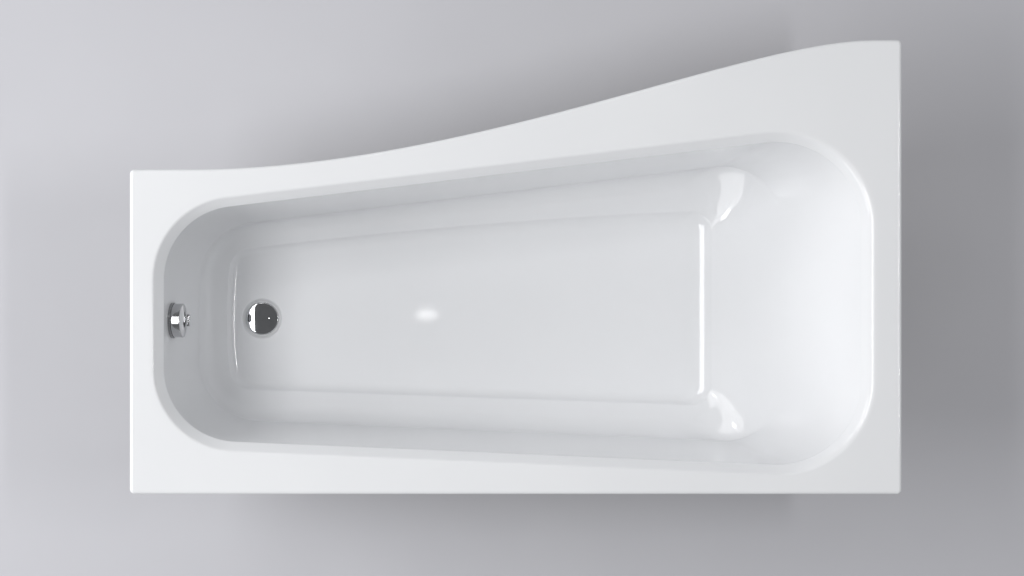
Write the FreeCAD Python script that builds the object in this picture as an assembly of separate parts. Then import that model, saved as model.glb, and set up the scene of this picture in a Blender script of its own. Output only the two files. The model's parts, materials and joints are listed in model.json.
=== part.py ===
"""Asymmetric corner bathtub of formed acrylic, on a levelling leg frame, with its rotary waste and overflow.

Frame: +X runs from the foot end to the wide head end, +Y from the wall side to the curved front, +Z up.
The origin lies on the room's floor, under the middle of the rim's box. All sizes are in millimetres.
"""

import FreeCAD
import Part

import math
import os
from collections import namedtuple

Vector = FreeCAD.Vector
UP = Vector(0, 0, 1)

# Rim, seen from above
LENGTH = 1700.0
HEAD_WIDTH = 1000.0
FOOT_WIDTH = 715.0
RIM_HEIGHT = 570.0
RIM_LIP = 38.0
RIM_CORNER = 10.0
RIM_INNER_CORNER = 2.5
RIM_EDGE_ROUND = 7.0
FRONT_FOOT_FLAT = 130.0
FRONT_HEAD_FLAT = 58.0
FRONT_FOOT_SWEEP = 613.0
FRONT_HEAD_SWEEP = 291.0

# Sheet of acrylic with its glass-fibre backing
SHELL = 6.0

# Width of the flat rim round the opening, at the corners of the tub
FOOT_LEDGE = 52.0
HEAD_LEDGE = 66.0
WALL_LEDGE_FOOT = 104.0
WALL_LEDGE_HEAD = 31.0
FRONT_LEDGE_FOOT = 87.0
FRONT_LEDGE_HEAD = 169.0

# Well: sloping band under the rim, drafted walls, seat ledge and sunk floor
WELL_DEPTH = 420.0
OPENING_FOOT_RADIUS = 183.0
OPENING_HEAD_RADIUS = 208.0
RIM_ROLL = 9.0
BAND_WIDTH = 20.0
BAND_DEPTH = 24.0
BAND_EDGE_ROUND = 7.0
SIDE_DRAFT = 5.0
FOOT_DRAFT = 6.0
BACKREST_SLOPE = 33.0
WALL_FOOT_CORNER = 140.0
WALL_HEAD_CORNER = 120.0
WALL_BASE_RADIUS = 60.0
LEDGE_FALL = 24.0
STEP_DEPTH = 15.0
STEP_RISER = 12.0
STEP_RISER_HEAD = 20.0
STEP_EDGE_ROUND = 5.0
STEP_BASE_ROUND = 10.0
FLOOR_FOOT_RUN = 136.0
FLOOR_HEAD_RUN = 353.0
FLOOR_FRONT_RUN_FOOT = 118.0
FLOOR_FRONT_RUN_HEAD = 159.0
FLOOR_WALL_RUN_FOOT = 129.0
FLOOR_WALL_RUN_HEAD = 138.0
FLOOR_FOOT_RADIUS = 38.0
FLOOR_FOOT_BOW = 13.0
FLOOR_FRONT_BOW = 13.0
FLOOR_HEAD_RADIUS = 36.0

# Boards bonded under the floor and under the wide rim
BOARD = 16.0
BOARD_INSET = 10.0
BOARD_WASTE_SLOT = 150.0
RIM_BOARD_GAP = 8.0
RIM_BOARD_START = 150.0
RIM_BOARD_SPLIT = 750.0
RIM_BOARD_END = 110.0

# Leg frame
RAIL_WIDTH = 40.0
RAIL_HEIGHT = 25.0
RAIL_WALL = 2.0
RAIL_LENGTH = 500.0
FOOT_RAIL_FROM_FOOT = 420.0
HEAD_RAIL_FROM_HEAD = 550.0
LEG_FROM_RAIL_END = 25.0
SPINDLE_DIAMETER = 10.0
SPINDLE_ABOVE_RAIL = 10.0
SPINDLE_BEVEL = 1.25
NUT_ACROSS_FLATS = 17.0
NUT_HEIGHT = 8.0
LOCK_NUT_HEIGHT = 5.0
PAD_DIAMETER = 50.0
PAD_HEIGHT = 15.0
PAD_RIM = 5.0
PAD_SHOULDER = 12.0
PAD_BEVEL = 1.0
PAD_NECK = 20.0
PAD_FLOOR = 4.0
RAIL_SCREW_DIAMETER = 4.5
RAIL_SCREW_HEAD = 9.0
RAIL_SCREW_HEAD_HEIGHT = 3.5
RAIL_SCREW_BEVEL = 1.5
RAIL_SCREW_BITE = 12.0
RAIL_SCREW_SPACING = 90.0

# Drain in the floor
WASTE_FROM_WALL = 381.0
DRAIN_FROM_FOOT = 246.0
DRAIN_HOLE = 52.0
DISH_DIAMETER = 96.0
DISH_BASE_DIAMETER = 84.0
DISH_DEPTH = 6.0
FLANGE_DIAMETER = 78.0
FLANGE_THICKNESS = 2.0
FLANGE_BEVEL = 1.0
FLANGE_NECK_WALL = 2.0
FLANGE_NECK_LENGTH = 26.0
SPIDER_DROP = 15.0
SPIDER_THICKNESS = 4.0
SPIDER_ARM = 6.0
HUB_DIAMETER = 19.0
DRAIN_SEAL = 1.0
SEAL_SETBACK = 1.0
PLUG_DIAMETER = 76.0
PLUG_EDGE = 2.5
PLUG_EDGE_ROUND = 1.2
PLUG_DOME = 3.0
PLUG_SEAL_OUTER = 62.0
PLUG_SEAL_INNER = 52.0
PLUG_SEAL_HEIGHT = 1.6
PLUG_LIFT = 9.0
STEM_DIAMETER = 8.0
STEM_LENGTH = 54.0
DRAIN_SCREW_DIAMETER = 12.4
DRAIN_SCREW_HEAD = 17.0
DRAIN_SCREW_HEAD_HEIGHT = 3.0

# Waste body under the floor, with the rocker that lifts the plug
WASTE_GASKET = 3.0
WASTE_FLANGE_DIAMETER = 80.0
WASTE_FLANGE = 4.0
WASTE_BODY_DIAMETER = 66.0
WASTE_BODY_DEPTH = 66.0
WASTE_SPIDER_GAP = 1.0
PLASTIC_WALL = 3.0
INLET_DROP = 31.0
INLET_DIAMETER = 36.0
INLET_LENGTH = 27.0
OUTLET_DROP = 35.0
OUTLET_LENGTH = 25.0
ROCKER_REACH = 20.0
ROCKER_WIDTH = 8.0
ROCKER_THICKNESS = 4.0
ROCKER_TIP = 5.0
ROCKER_TAIL = 10.0
ROCKER_STEM_GAP = 0.8
ROCKER_BOSS_WALL = 2.1
ROCKER_PIN_DIAMETER = 4.0
ROCKER_LUG = 3.0
ROCKER_LUG_WALL = 3.0

# Trap and waste pipe
PIPE_DIAMETER = 40.0
PIPE_WALL = 2.0
TRAP_BEND_RADIUS = 28.0
TRAP_RUN = 22.0
TRAP_NUT_DIAMETER = 52.0
TRAP_NUT_LENGTH = 24.0
NUT_FLUTES = 10
FLUTE_DIAMETER = 6.0
FLUTE_RISE = 1.2
OUTLET_PIPE_LENGTH = 100.0
OUTLET_COLLAR_DIAMETER = 47.0
OUTLET_COLLAR = 4.0

# Overflow in the foot-end wall, with the rotary knob
OVERFLOW_DROP = 95.0
OVERFLOW_HOLE = 54.0
ROSETTE_DIAMETER = 80.0
ROSETTE_THICKNESS = 6.0
ROSETTE_EDGE_ROUND = 1.5
ROSETTE_NECK_WALL = 2.0
ROSETTE_NECK_FORWARD = 8.0
ROSETTE_BAR = 12.0
ROSETTE_BAR_THICKNESS = 4.0
BAR_HUB_WALL = 4.0
KNOB_DIAMETER = 76.0
KNOB_SKIRT = 14.0
KNOB_SKIRT_WALL = 3.0
KNOB_FACE = 6.0
KNOB_CROWN = 4.5
KNOB_EDGE_ROUND = 3.0
KNOB_WINDOW = 54.0
KNOB_GRIP_WIDTH = 28.0
KNOB_GRIP_DEPTH = 11.0
KNOB_GRIP_HEIGHT = 5.0
KNOB_GRIP_OVERHANG = 6.0
KNOB_MARK_LENGTH = 12.0
KNOB_MARK_WIDTH = 3.0
KNOB_MARK_DEPTH = 0.8
KNOB_MARK_UP = 11.0
KNOB_MARK_ASIDE = 9.5
KNOB_SPINDLE_DIAMETER = 10.0
CAM_DIAMETER = 30.0
CAM_THICKNESS = 8.0
CAM_GROOVE = 2.0
OVERFLOW_GASKET = 4.0
OVERFLOW_FLANGE_DIAMETER = 76.0
OVERFLOW_FLANGE = 4.0
OVERFLOW_CUP_DIAMETER = 66.0
OVERFLOW_CUP_DEPTH = 38.0
OVERFLOW_SCREW_DIAMETER = 5.0
OVERFLOW_SCREW_HEAD = 9.0
OVERFLOW_SCREW_HEAD_HEIGHT = 3.0
OVERFLOW_SCREW_BEVEL = 1.2
OVERFLOW_SCREW_PAST = 1.0
OVERFLOW_SCREW_SPACING = 34.0
OVERFLOW_SPIGOT_LENGTH = 30.0
OVERFLOW_PIPE_DIAMETER = 32.0
OVERFLOW_BEND_RADIUS = 80.0
OVERFLOW_NUT_DIAMETER = 46.0
OVERFLOW_NUT_LENGTH = 20.0
CABLE_DIAMETER = 6.0
CABLE_OFFSET = 28.0
CABLE_BEND_RADIUS = 70.0
CABLE_GLAND_DIAMETER = 12.0
CABLE_GLAND_LENGTH = 16.0
CABLE_DROP = 54.0

# Clearances, the margin by which edges are picked inside an outline, and passes that settle a corner's arc
RUNNING = 0.3
SEATED = 0.1
PICK_MARGIN = 1.0
CORNER_PASSES = 12

# Places worked out from the sizes above
FOOT_X = -LENGTH / 2
HEAD_X = LENGTH / 2
WALL_Y = -HEAD_WIDTH / 2
OPEN_FOOT_X = FOOT_X + FOOT_LEDGE
OPEN_HEAD_X = HEAD_X - HEAD_LEDGE
LEDGE_DEPTH = WELL_DEPTH - STEP_DEPTH
WALL_BASE_DEPTH = LEDGE_DEPTH - LEDGE_FALL
FLOOR_Z = RIM_HEIGHT - WELL_DEPTH
UNDERSIDE_Z = FLOOR_Z - SHELL
BOARD_Z = UNDERSIDE_Z - BOARD
DRAIN = Vector(FOOT_X + DRAIN_FROM_FOOT, WALL_Y + WASTE_FROM_WALL, FLOOR_Z)
DISH_Z = FLOOR_Z - DISH_DEPTH
WASTE_TOP_Z = DISH_Z - SHELL - WASTE_GASKET


def between(start, end, share):
    """The value that lies the given share of the way from start to end."""
    return start + (end - start) * share


class Side:
    """Side of an outline between two corners, taken anticlockwise: straight, or an arc bowed outwards."""

    def __init__(self, start, end, bow):
        along = end - start
        self.start = start
        self.inward = UP.cross(along).normalize()
        self.radius = (along.Length ** 2 / 4 + bow ** 2) / (2 * bow) if bow else None
        if bow:
            self.centre = start + along * 0.5 + self.inward * (self.radius - bow)

    def inside(self, point):
        """How far a point lies inside the side, and the way straight in from there."""
        if not self.radius:
            return (point - self.start).dot(self.inward), self.inward
        spoke = self.centre - point
        return self.radius - spoke.Length, spoke.normalize()

    def edge(self, start, end):
        """The stretch of the side between two points on it."""
        if not self.radius:
            return Part.LineSegment(start, end).toShape()
        spoke = ((start + end) * 0.5 - self.centre).normalize()
        return Part.Arc(start, self.centre + spoke * self.radius, end).toShape()


def corner_arc(corner, arrive, leave, radius):
    """Start, middle and end of the arc that touches two sides near the corner where they meet."""
    centre = corner
    for _ in range(CORNER_PASSES):
        depth_a, way_a = arrive.inside(centre)
        depth_b, way_b = leave.inside(centre)
        short_a, short_b, turn = radius - depth_a, radius - depth_b, way_a.dot(way_b)
        centre = centre + way_a * ((short_a - short_b * turn) / (1 - turn ** 2))
        centre = centre + way_b * ((short_b - short_a * turn) / (1 - turn ** 2))
    middle = (way_a + way_b).normalize()
    return [centre - way * radius for way in (way_a, middle, way_b)]


def rounded_outline(corners, radii, bows):
    """Closed wire of straight or bowed sides and tangent corner arcs, one radius for each corner."""
    count = len(corners)
    sides = [Side(corners[i], corners[(i + 1) % count], bow) for i, bow in enumerate(bows)]
    arcs = [corner_arc(corner, sides[i - 1], sides[i], radii[i]) for i, corner in enumerate(corners)]
    edges = []
    for i, arc in enumerate(arcs):
        edges.append(Part.Arc(*arc).toShape())
        edges.append(sides[i].edge(arc[2], arcs[(i + 1) % count][0]))
    return Part.Wire(edges)


def prism(wire, height):
    """Upright solid on a flat closed wire."""
    return Part.Face(wire).extrude(UP * height)


def block(size_x, size_y, size_z, centre, base_z):
    """Box centred on a point in plan, standing on base_z."""
    corner = Vector(centre.x - size_x / 2, centre.y - size_y / 2, base_z)
    return Part.makeBox(size_x, size_y, size_z, corner)


def post(diameter, length, base, axis=UP):
    """Cylinder from a base point along an axis."""
    return Part.makeCylinder(diameter / 2, length, base, axis)


def ring(outer, inner, length, base, axis=UP):
    """Round sleeve given by its two diameters."""
    return post(outer, length, base, axis).cut(post(inner, length, base, axis))


def revolved(points, base):
    """Solid turned about the upright axis through base from points given as radius and height."""
    outline = [base + Vector(radius, 0, height) for radius, height in points]
    face = Part.Face(Part.makePolygon(outline + outline[:1]))
    return face.revolve(base, UP, 360)


def bent_pipe(path, outer, inner=0.0):
    """Pipe of a round section along straight runs and bends, hollow where an inner diameter is given."""
    bodies = []
    for diameter in (outer, inner):
        if not diameter:
            continue
        lengths = []
        for edge in path.OrderedEdges:
            first, last = edge.FirstParameter, edge.LastParameter
            way = edge.tangentAt(first)
            section = Part.Face(Part.Wire(Part.makeCircle(diameter / 2, edge.valueAt(first), way)))
            if isinstance(edge.Curve, Part.Circle):
                turn = math.degrees(last - first)
                lengths.append(section.revolve(edge.Curve.Center, edge.Curve.Axis, turn))
            else:
                lengths.append(section.extrude(way * edge.Length))
        bodies.append(lengths[0].fuse(lengths[1:]).removeSplitter())
    return bodies[0].cut(bodies[1]) if inner else bodies[0]


def bend_arc(start, corner, end):
    """Quarter bend that leaves start towards corner and arrives at end."""
    centre = start + end - corner
    middle = centre + (corner - centre).normalize() * (start - centre).Length
    return Part.Arc(start, middle, end).toShape()


def hexagon(across_flats, height, base):
    """Plain hexagonal prism of a nut."""
    corner_radius = across_flats / math.sqrt(3)
    turns = [math.pi * i / 3 for i in range(6)]
    corners = [base + Vector(math.cos(turn), math.sin(turn), 0) * corner_radius for turn in turns]
    return prism(Part.makePolygon(corners + corners[:1]), height)


def edges_at(shape, z, inside=None):
    """Edges that lie wholly at a height, kept only where their middle is inside a box in plan."""
    found = []
    for edge in shape.Edges:
        box = edge.BoundBox
        if abs(box.ZMin - z) > 1e-4 or abs(box.ZMax - z) > 1e-4:
            continue
        if inside is None or inside.isInside(box.Center):
            found.append(edge)
    return found


# Well contours: each is a rounded four-sided outline at one depth, given by how far each side has
# run in from the rim's opening.
Contour = namedtuple(
    "Contour",
    "depth foot head front_foot front_head wall_foot wall_head foot_radius head_radius foot_bow front_bow",
)


def grown(contour, amount, depth):
    """The same contour moved outwards all round by an amount, at another depth."""
    return Contour(
        depth,
        contour.foot - amount,
        contour.head - amount,
        contour.front_foot - amount,
        contour.front_head - amount,
        contour.wall_foot - amount,
        contour.wall_head - amount,
        contour.foot_radius + amount,
        contour.head_radius + amount,
        contour.foot_bow,
        contour.front_bow,
    )


def opening_front(x):
    """Front edge of the opening, a straight line that leaves the rim wider at the head end."""
    at_foot = WALL_Y + FOOT_WIDTH - FRONT_LEDGE_FOOT
    at_head = WALL_Y + HEAD_WIDTH - FRONT_LEDGE_HEAD
    return between(at_foot, at_head, (x - FOOT_X) / LENGTH)


def opening_wall(x):
    """Wall-side edge of the opening."""
    return between(WALL_Y + WALL_LEDGE_FOOT, WALL_Y + WALL_LEDGE_HEAD, (x - FOOT_X) / LENGTH)


def contour_wire(contour):
    """Outline of the well at a contour's depth."""
    foot_x = OPEN_FOOT_X + contour.foot
    head_x = OPEN_HEAD_X - contour.head
    z = RIM_HEIGHT - contour.depth
    corners = [
        Vector(foot_x, opening_wall(foot_x) + contour.wall_foot, z),
        Vector(head_x, opening_wall(head_x) + contour.wall_head, z),
        Vector(head_x, opening_front(head_x) - contour.front_head, z),
        Vector(foot_x, opening_front(foot_x) - contour.front_foot, z),
    ]
    foot_radius, head_radius = contour.foot_radius, contour.head_radius
    radii = [foot_radius, head_radius, head_radius, foot_radius]
    return rounded_outline(corners, radii, [0.0, 0.0, contour.front_bow, contour.foot_bow])


def drafted(contour, depth, foot_radius, head_radius):
    """Where the walls that leave a contour reach at another depth, by their draft."""
    fall = depth - contour.depth
    side = fall * math.tan(math.radians(SIDE_DRAFT))
    foot = fall * math.tan(math.radians(FOOT_DRAFT))
    head = fall * math.tan(math.radians(BACKREST_SLOPE))
    return Contour(
        depth,
        contour.foot + foot,
        contour.head + head,
        contour.front_foot + side,
        contour.front_head + side,
        contour.wall_foot + side,
        contour.wall_head + side,
        foot_radius,
        head_radius,
        0.0,
        0.0,
    )


OPENING = Contour(0.0, 0.0, 0.0, 0.0, 0.0, 0.0, 0.0, OPENING_FOOT_RADIUS, OPENING_HEAD_RADIUS, 0.0, 0.0)
BAND_FOOT = grown(OPENING, -BAND_WIDTH, BAND_DEPTH)
FLOOR = Contour(
    WELL_DEPTH,
    FLOOR_FOOT_RUN,
    FLOOR_HEAD_RUN,
    FLOOR_FRONT_RUN_FOOT,
    FLOOR_FRONT_RUN_HEAD,
    FLOOR_WALL_RUN_FOOT,
    FLOOR_WALL_RUN_HEAD,
    FLOOR_FOOT_RADIUS,
    FLOOR_HEAD_RADIUS,
    FLOOR_FOOT_BOW,
    FLOOR_FRONT_BOW,
)
STEP_TOP = grown(FLOOR, STEP_RISER, LEDGE_DEPTH)._replace(head=FLOOR_HEAD_RUN - STEP_RISER_HEAD)


def loft(*contours):
    """Solid with straight flanks through the outlines of the given contours."""
    return Part.makeLoft([contour_wire(contour) for contour in contours], True, True)


def rim_outline(inset, z):
    """Outline of the rim moved in by an inset: three straight sides and the curved front."""
    foot_x, head_x = FOOT_X + inset, HEAD_X - inset
    wall_y = WALL_Y + inset
    foot_front = WALL_Y + FOOT_WIDTH - inset
    head_front = WALL_Y + HEAD_WIDTH - inset
    radius = max(RIM_CORNER - inset, RIM_INNER_CORNER)
    corners = [
        Vector(foot_x, wall_y, z),
        Vector(head_x, wall_y, z),
        Vector(head_x, head_front, z),
        Vector(foot_x, foot_front, z),
    ]
    ways = [Vector(1, 0, 0), Vector(0, 1, 0), Vector(-1, 0, 0), Vector(0, -1, 0)]
    arcs = []
    for i, corner in enumerate(corners):
        arrive, leave = ways[i - 1] * -radius, ways[i] * radius
        arcs.append(bend_arc(corner + arrive, corner, corner + leave))
    sweep_head = Vector(HEAD_X - FRONT_HEAD_FLAT, head_front, z)
    sweep_foot = Vector(FOOT_X + FRONT_FOOT_FLAT, foot_front, z)
    front = Part.BezierCurve()
    front.setPoles([
        sweep_head,
        sweep_head - Vector(FRONT_HEAD_SWEEP, 0, 0),
        sweep_foot + Vector(FRONT_FOOT_SWEEP, 0, 0),
        sweep_foot,
    ])
    straights = [
        (arcs[0].lastVertex().Point, arcs[1].firstVertex().Point),
        (arcs[1].lastVertex().Point, arcs[2].firstVertex().Point),
        (arcs[2].lastVertex().Point, sweep_head),
        (sweep_foot, arcs[3].firstVertex().Point),
        (arcs[3].lastVertex().Point, arcs[0].firstVertex().Point),
    ]
    lines = [Part.LineSegment(*ends).toShape() for ends in straights]
    return Part.Wire([
        arcs[0], lines[0], arcs[1], lines[1], arcs[2], lines[2], front.toShape(), lines[3], arcs[3], lines[4],
    ])


def well_solid(growth):
    """The space inside the well, or with growth the same form grown by a wall all round and below."""
    opening = grown(OPENING, growth, 0.0)
    band_foot = grown(BAND_FOOT, growth, BAND_DEPTH)
    base_depth = WALL_BASE_DEPTH + growth
    wall_base = drafted(band_foot, base_depth, WALL_FOOT_CORNER + growth, WALL_HEAD_CORNER + growth)
    step_top = grown(STEP_TOP, growth, LEDGE_DEPTH + growth)
    floor = grown(FLOOR, growth, WELL_DEPTH + growth)
    well = loft(opening, band_foot, wall_base, step_top, floor)
    well = well.makeFillet(WALL_BASE_RADIUS + growth, edges_at(well, RIM_HEIGHT - base_depth))
    if not growth:
        well = well.makeFillet(BAND_EDGE_ROUND, edges_at(well, RIM_HEIGHT - BAND_DEPTH))
        well = well.makeFillet(STEP_EDGE_ROUND, edges_at(well, RIM_HEIGHT - LEDGE_DEPTH))
        well = well.makeFillet(STEP_BASE_ROUND, edges_at(well, FLOOR_Z))
    return well


# Overflow frame: local Z leaves the foot wall squarely into the well, local X runs down the wall
FOOT_LEAN = math.radians(FOOT_DRAFT)
WALL_THICKNESS = SHELL * math.cos(FOOT_LEAN)
OVERFLOW_PLACE = FreeCAD.Placement(
    Vector(
        OPEN_FOOT_X + BAND_WIDTH + (OVERFLOW_DROP - BAND_DEPTH) * math.tan(FOOT_LEAN),
        DRAIN.y,
        RIM_HEIGHT - OVERFLOW_DROP,
    ),
    FreeCAD.Rotation(Vector(0, 1, 0), 90 - FOOT_DRAFT),
)
GASKET_BACK = -WALL_THICKNESS - OVERFLOW_GASKET
CUP_CENTRE = OVERFLOW_PLACE.multVec(Vector(0, 0, GASKET_BACK - OVERFLOW_CUP_DEPTH / 2))
SPIGOT_END_Z = CUP_CENTRE.z - OVERFLOW_CUP_DIAMETER / 2 - OVERFLOW_SPIGOT_LENGTH


def at_overflow(shape):
    """Moves a shape from the overflow's own frame into the tub."""
    placed = shape.copy()
    placed.Placement = OVERFLOW_PLACE.multiply(placed.Placement)
    return placed


def local(height, across=0.0):
    """Point on the overflow's axis, or beside it along the tub's width."""
    return Vector(0, across, height)


def drain_dish(growth):
    """Shallow cone sunk into the floor round the drain, or with growth its outside."""
    base = Vector(DRAIN.x, DRAIN.y, DISH_Z - growth)
    return Part.makeCone(DISH_BASE_DIAMETER / 2 + growth, DISH_DIAMETER / 2 + growth, DISH_DEPTH, base)


# Acrylic shell

def acrylic_shell():
    """Rim with turned-down lip, well and stepped floor as one thin formed sheet."""
    lip_z = RIM_HEIGHT - RIM_LIP
    tray = prism(rim_outline(0.0, lip_z), RIM_LIP)
    tray = tray.makeFillet(RIM_EDGE_ROUND, edges_at(tray, RIM_HEIGHT))
    tray = tray.cut(prism(rim_outline(SHELL, lip_z), RIM_LIP - SHELL))
    outside = tray.fuse([well_solid(SHELL), drain_dish(SHELL)])
    drain_hole = post(DRAIN_HOLE, DISH_DEPTH + SHELL, Vector(DRAIN.x, DRAIN.y, DISH_Z - SHELL))
    overflow_hole = at_overflow(post(OVERFLOW_HOLE, 4 * SHELL, local(-2 * SHELL)))
    shell = outside.cut([well_solid(0.0), drain_dish(0.0), drain_hole, overflow_hole]).removeSplitter()
    opening_box = contour_wire(OPENING).BoundBox
    opening_box.enlarge(PICK_MARGIN)
    return shell.makeFillet(RIM_ROLL, edges_at(shell, RIM_HEIGHT, opening_box))


# Boards and leg frame

def floor_sides(x):
    """Wall-side and front edge of the well's floor, across the tub."""
    share = (x - OPEN_FOOT_X - FLOOR.foot) / (OPEN_HEAD_X - FLOOR.head - OPEN_FOOT_X - FLOOR.foot)
    wall = opening_wall(x) + between(FLOOR.wall_foot, FLOOR.wall_head, share)
    front = opening_front(x) - between(FLOOR.front_foot, FLOOR.front_head, share)
    return wall, front


FOOT_RAIL_X = FOOT_X + FOOT_RAIL_FROM_FOOT
HEAD_RAIL_X = HEAD_X - HEAD_RAIL_FROM_HEAD


def rail_centre(x):
    """Place of a cross rail in plan, under the middle of the floor."""
    return Vector(x, sum(floor_sides(x)) / 2, 0)


def rail_length(x):
    """Length of a cross rail: it reaches as far past the floor's edges as the foot rail does."""
    wall, front = floor_sides(x)
    foot_rail_wall, foot_rail_front = floor_sides(FOOT_RAIL_X)
    return RAIL_LENGTH + (front - wall) - (foot_rail_front - foot_rail_wall)


def leg_reach(x):
    """How far a leg stands from the middle of its rail."""
    return Vector(0, rail_length(x) / 2 - LEG_FROM_RAIL_END, 0)


FOOT_RAIL = rail_centre(FOOT_RAIL_X)
HEAD_RAIL = rail_centre(HEAD_RAIL_X)
LEGS = {
    "foot_wall": FOOT_RAIL - leg_reach(FOOT_RAIL_X),
    "foot_front": FOOT_RAIL + leg_reach(FOOT_RAIL_X),
    "head_wall": HEAD_RAIL - leg_reach(HEAD_RAIL_X),
    "head_front": HEAD_RAIL + leg_reach(HEAD_RAIL_X),
}
RAIL_SCREWS = [
    rail + Vector(0, RAIL_SCREW_SPACING * step, 0)
    for rail in (FOOT_RAIL, HEAD_RAIL)
    for step in (-1.5, -0.5, 0.5, 1.5)
]
WEB_Z = BOARD_Z - RAIL_WALL


def lifted(place, z):
    """A place in plan taken to a height."""
    return Vector(place.x, place.y, z)


def base_board():
    """Board under the floor, slotted from its foot end for the waste."""
    board = prism(contour_wire(grown(FLOOR, SHELL - BOARD_INSET, RIM_HEIGHT - BOARD_Z)), BOARD)
    slot_end = post(BOARD_WASTE_SLOT, BOARD, lifted(DRAIN, BOARD_Z))
    slot = block(2 * DRAIN_FROM_FOOT, BOARD_WASTE_SLOT, BOARD, DRAIN - Vector(DRAIN_FROM_FOOT, 0, 0), BOARD_Z)
    holes = [
        post(RAIL_SCREW_DIAMETER + 2 * SEATED, RAIL_SCREW_BITE + SEATED, lifted(place, BOARD_Z))
        for place in RAIL_SCREWS
    ]
    return board.cut([slot_end, slot] + holes)


def rim_board(low, high):
    """Part of the board that fills the rim from below, between two corners in plan."""
    base_z = RIM_HEIGHT - SHELL - BOARD
    growth = SHELL + RIM_BOARD_GAP
    whole = prism(rim_outline(growth, base_z), BOARD)
    whole = whole.cut(prism(contour_wire(grown(OPENING, growth, RIM_HEIGHT - base_z)), BOARD))
    keep = Part.makeBox(high.x - low.x, high.y - low.y, BOARD, lifted(low, base_z))
    return whole.common(keep)


def cross_rail(place):
    """Pressed steel channel, open downwards, with round holes for spindles and screws."""
    length = rail_length(place.x)
    rail = block(RAIL_WIDTH, length, RAIL_HEIGHT, place, BOARD_Z - RAIL_HEIGHT)
    long_edges = [edge for edge in edges_at(rail, BOARD_Z) if edge.BoundBox.YLength > edge.BoundBox.XLength]
    rail = rail.makeFillet(RAIL_WALL, long_edges)
    channel = RAIL_WIDTH - 2 * RAIL_WALL
    inside = block(channel, length, RAIL_HEIGHT - RAIL_WALL, place, BOARD_Z - RAIL_HEIGHT)
    holes = [
        post(SPINDLE_DIAMETER + 2 * RUNNING, RAIL_WALL, lifted(leg, WEB_Z))
        for leg in LEGS.values()
    ]
    holes += [
        post(RAIL_SCREW_DIAMETER + 2 * SEATED, RAIL_WALL, lifted(screw, WEB_Z))
        for screw in RAIL_SCREWS
    ]
    return rail.cut([inside] + holes)


def screw(diameter, length, point, head, head_height, bevel, base):
    """Pan-head screw, head up or down by the sign of its height, with its shank on the other side of base."""
    way = math.copysign(1.0, head_height)
    return revolved(
        [
            (0, head_height),
            (head / 2 - bevel, head_height),
            (head / 2, head_height - way * bevel),
            (head / 2, 0),
            (diameter / 2, 0),
            (diameter / 2, way * (point - length)),
            (0, -way * length),
        ],
        base,
    )


def rail_screw(place):
    """Screw driven up through the rail into the board."""
    return screw(
        RAIL_SCREW_DIAMETER,
        RAIL_WALL + RAIL_SCREW_BITE,
        RAIL_SCREW_DIAMETER / 2,
        RAIL_SCREW_HEAD,
        -RAIL_SCREW_HEAD_HEIGHT,
        RAIL_SCREW_BEVEL,
        lifted(place, WEB_Z),
    )


def nut(place, top_z, height):
    """Hexagon nut that runs on a leg spindle."""
    base = lifted(place, top_z - height)
    bore = post(SPINDLE_DIAMETER + 2 * RUNNING, height, base)
    return hexagon(NUT_ACROSS_FLATS, height, base).cut(bore)


def leg_spindle(place):
    """Threaded spindle of a leg, bevelled at the top."""
    spindle = post(SPINDLE_DIAMETER, BOARD_Z + SPINDLE_ABOVE_RAIL - PAD_FLOOR, lifted(place, PAD_FLOOR))
    return spindle.makeChamfer(SPINDLE_BEVEL, edges_at(spindle, BOARD_Z + SPINDLE_ABOVE_RAIL))


def leg_pad(place):
    """Moulded pad with a flared foot and a socket for the spindle."""
    socket = SPINDLE_DIAMETER / 2 + SEATED
    return revolved(
        [
            (0, 0),
            (PAD_DIAMETER / 2 - PAD_BEVEL, 0),
            (PAD_DIAMETER / 2, PAD_BEVEL),
            (PAD_DIAMETER / 2, PAD_RIM),
            (PAD_NECK / 2, PAD_SHOULDER),
            (PAD_NECK / 2, PAD_HEIGHT),
            (socket, PAD_HEIGHT),
            (socket, PAD_FLOOR),
            (0, PAD_FLOOR),
        ],
        lifted(place, 0),
    )


# Drain

FLANGE_Z = DISH_Z + DRAIN_SEAL
FLANGE_TOP_Z = FLANGE_Z + FLANGE_THICKNESS
NECK_RADIUS = DRAIN_HOLE / 2 - RUNNING
SPIDER_Z = FLANGE_Z - SPIDER_DROP
PLUG_Z = FLANGE_TOP_Z + RUNNING + PLUG_SEAL_HEIGHT
STEM_END_Z = PLUG_Z - STEM_LENGTH


def on_drain(z):
    """Point on the drain's axis at a height."""
    return Vector(DRAIN.x, DRAIN.y, z)


def spider(span, z):
    """Cross of two arms with a drilled hub, inside a round bore."""
    arms = [
        block(span, SPIDER_ARM, SPIDER_THICKNESS, DRAIN, z),
        block(SPIDER_ARM, span, SPIDER_THICKNESS, DRAIN, z),
    ]
    cross = post(HUB_DIAMETER, SPIDER_THICKNESS, on_drain(z)).fuse(arms)
    cross = cross.common(post(span, SPIDER_THICKNESS, on_drain(z)))
    return cross.cut(post(DRAIN_SCREW_DIAMETER + 2 * SEATED, SPIDER_THICKNESS, on_drain(z)))


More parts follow.
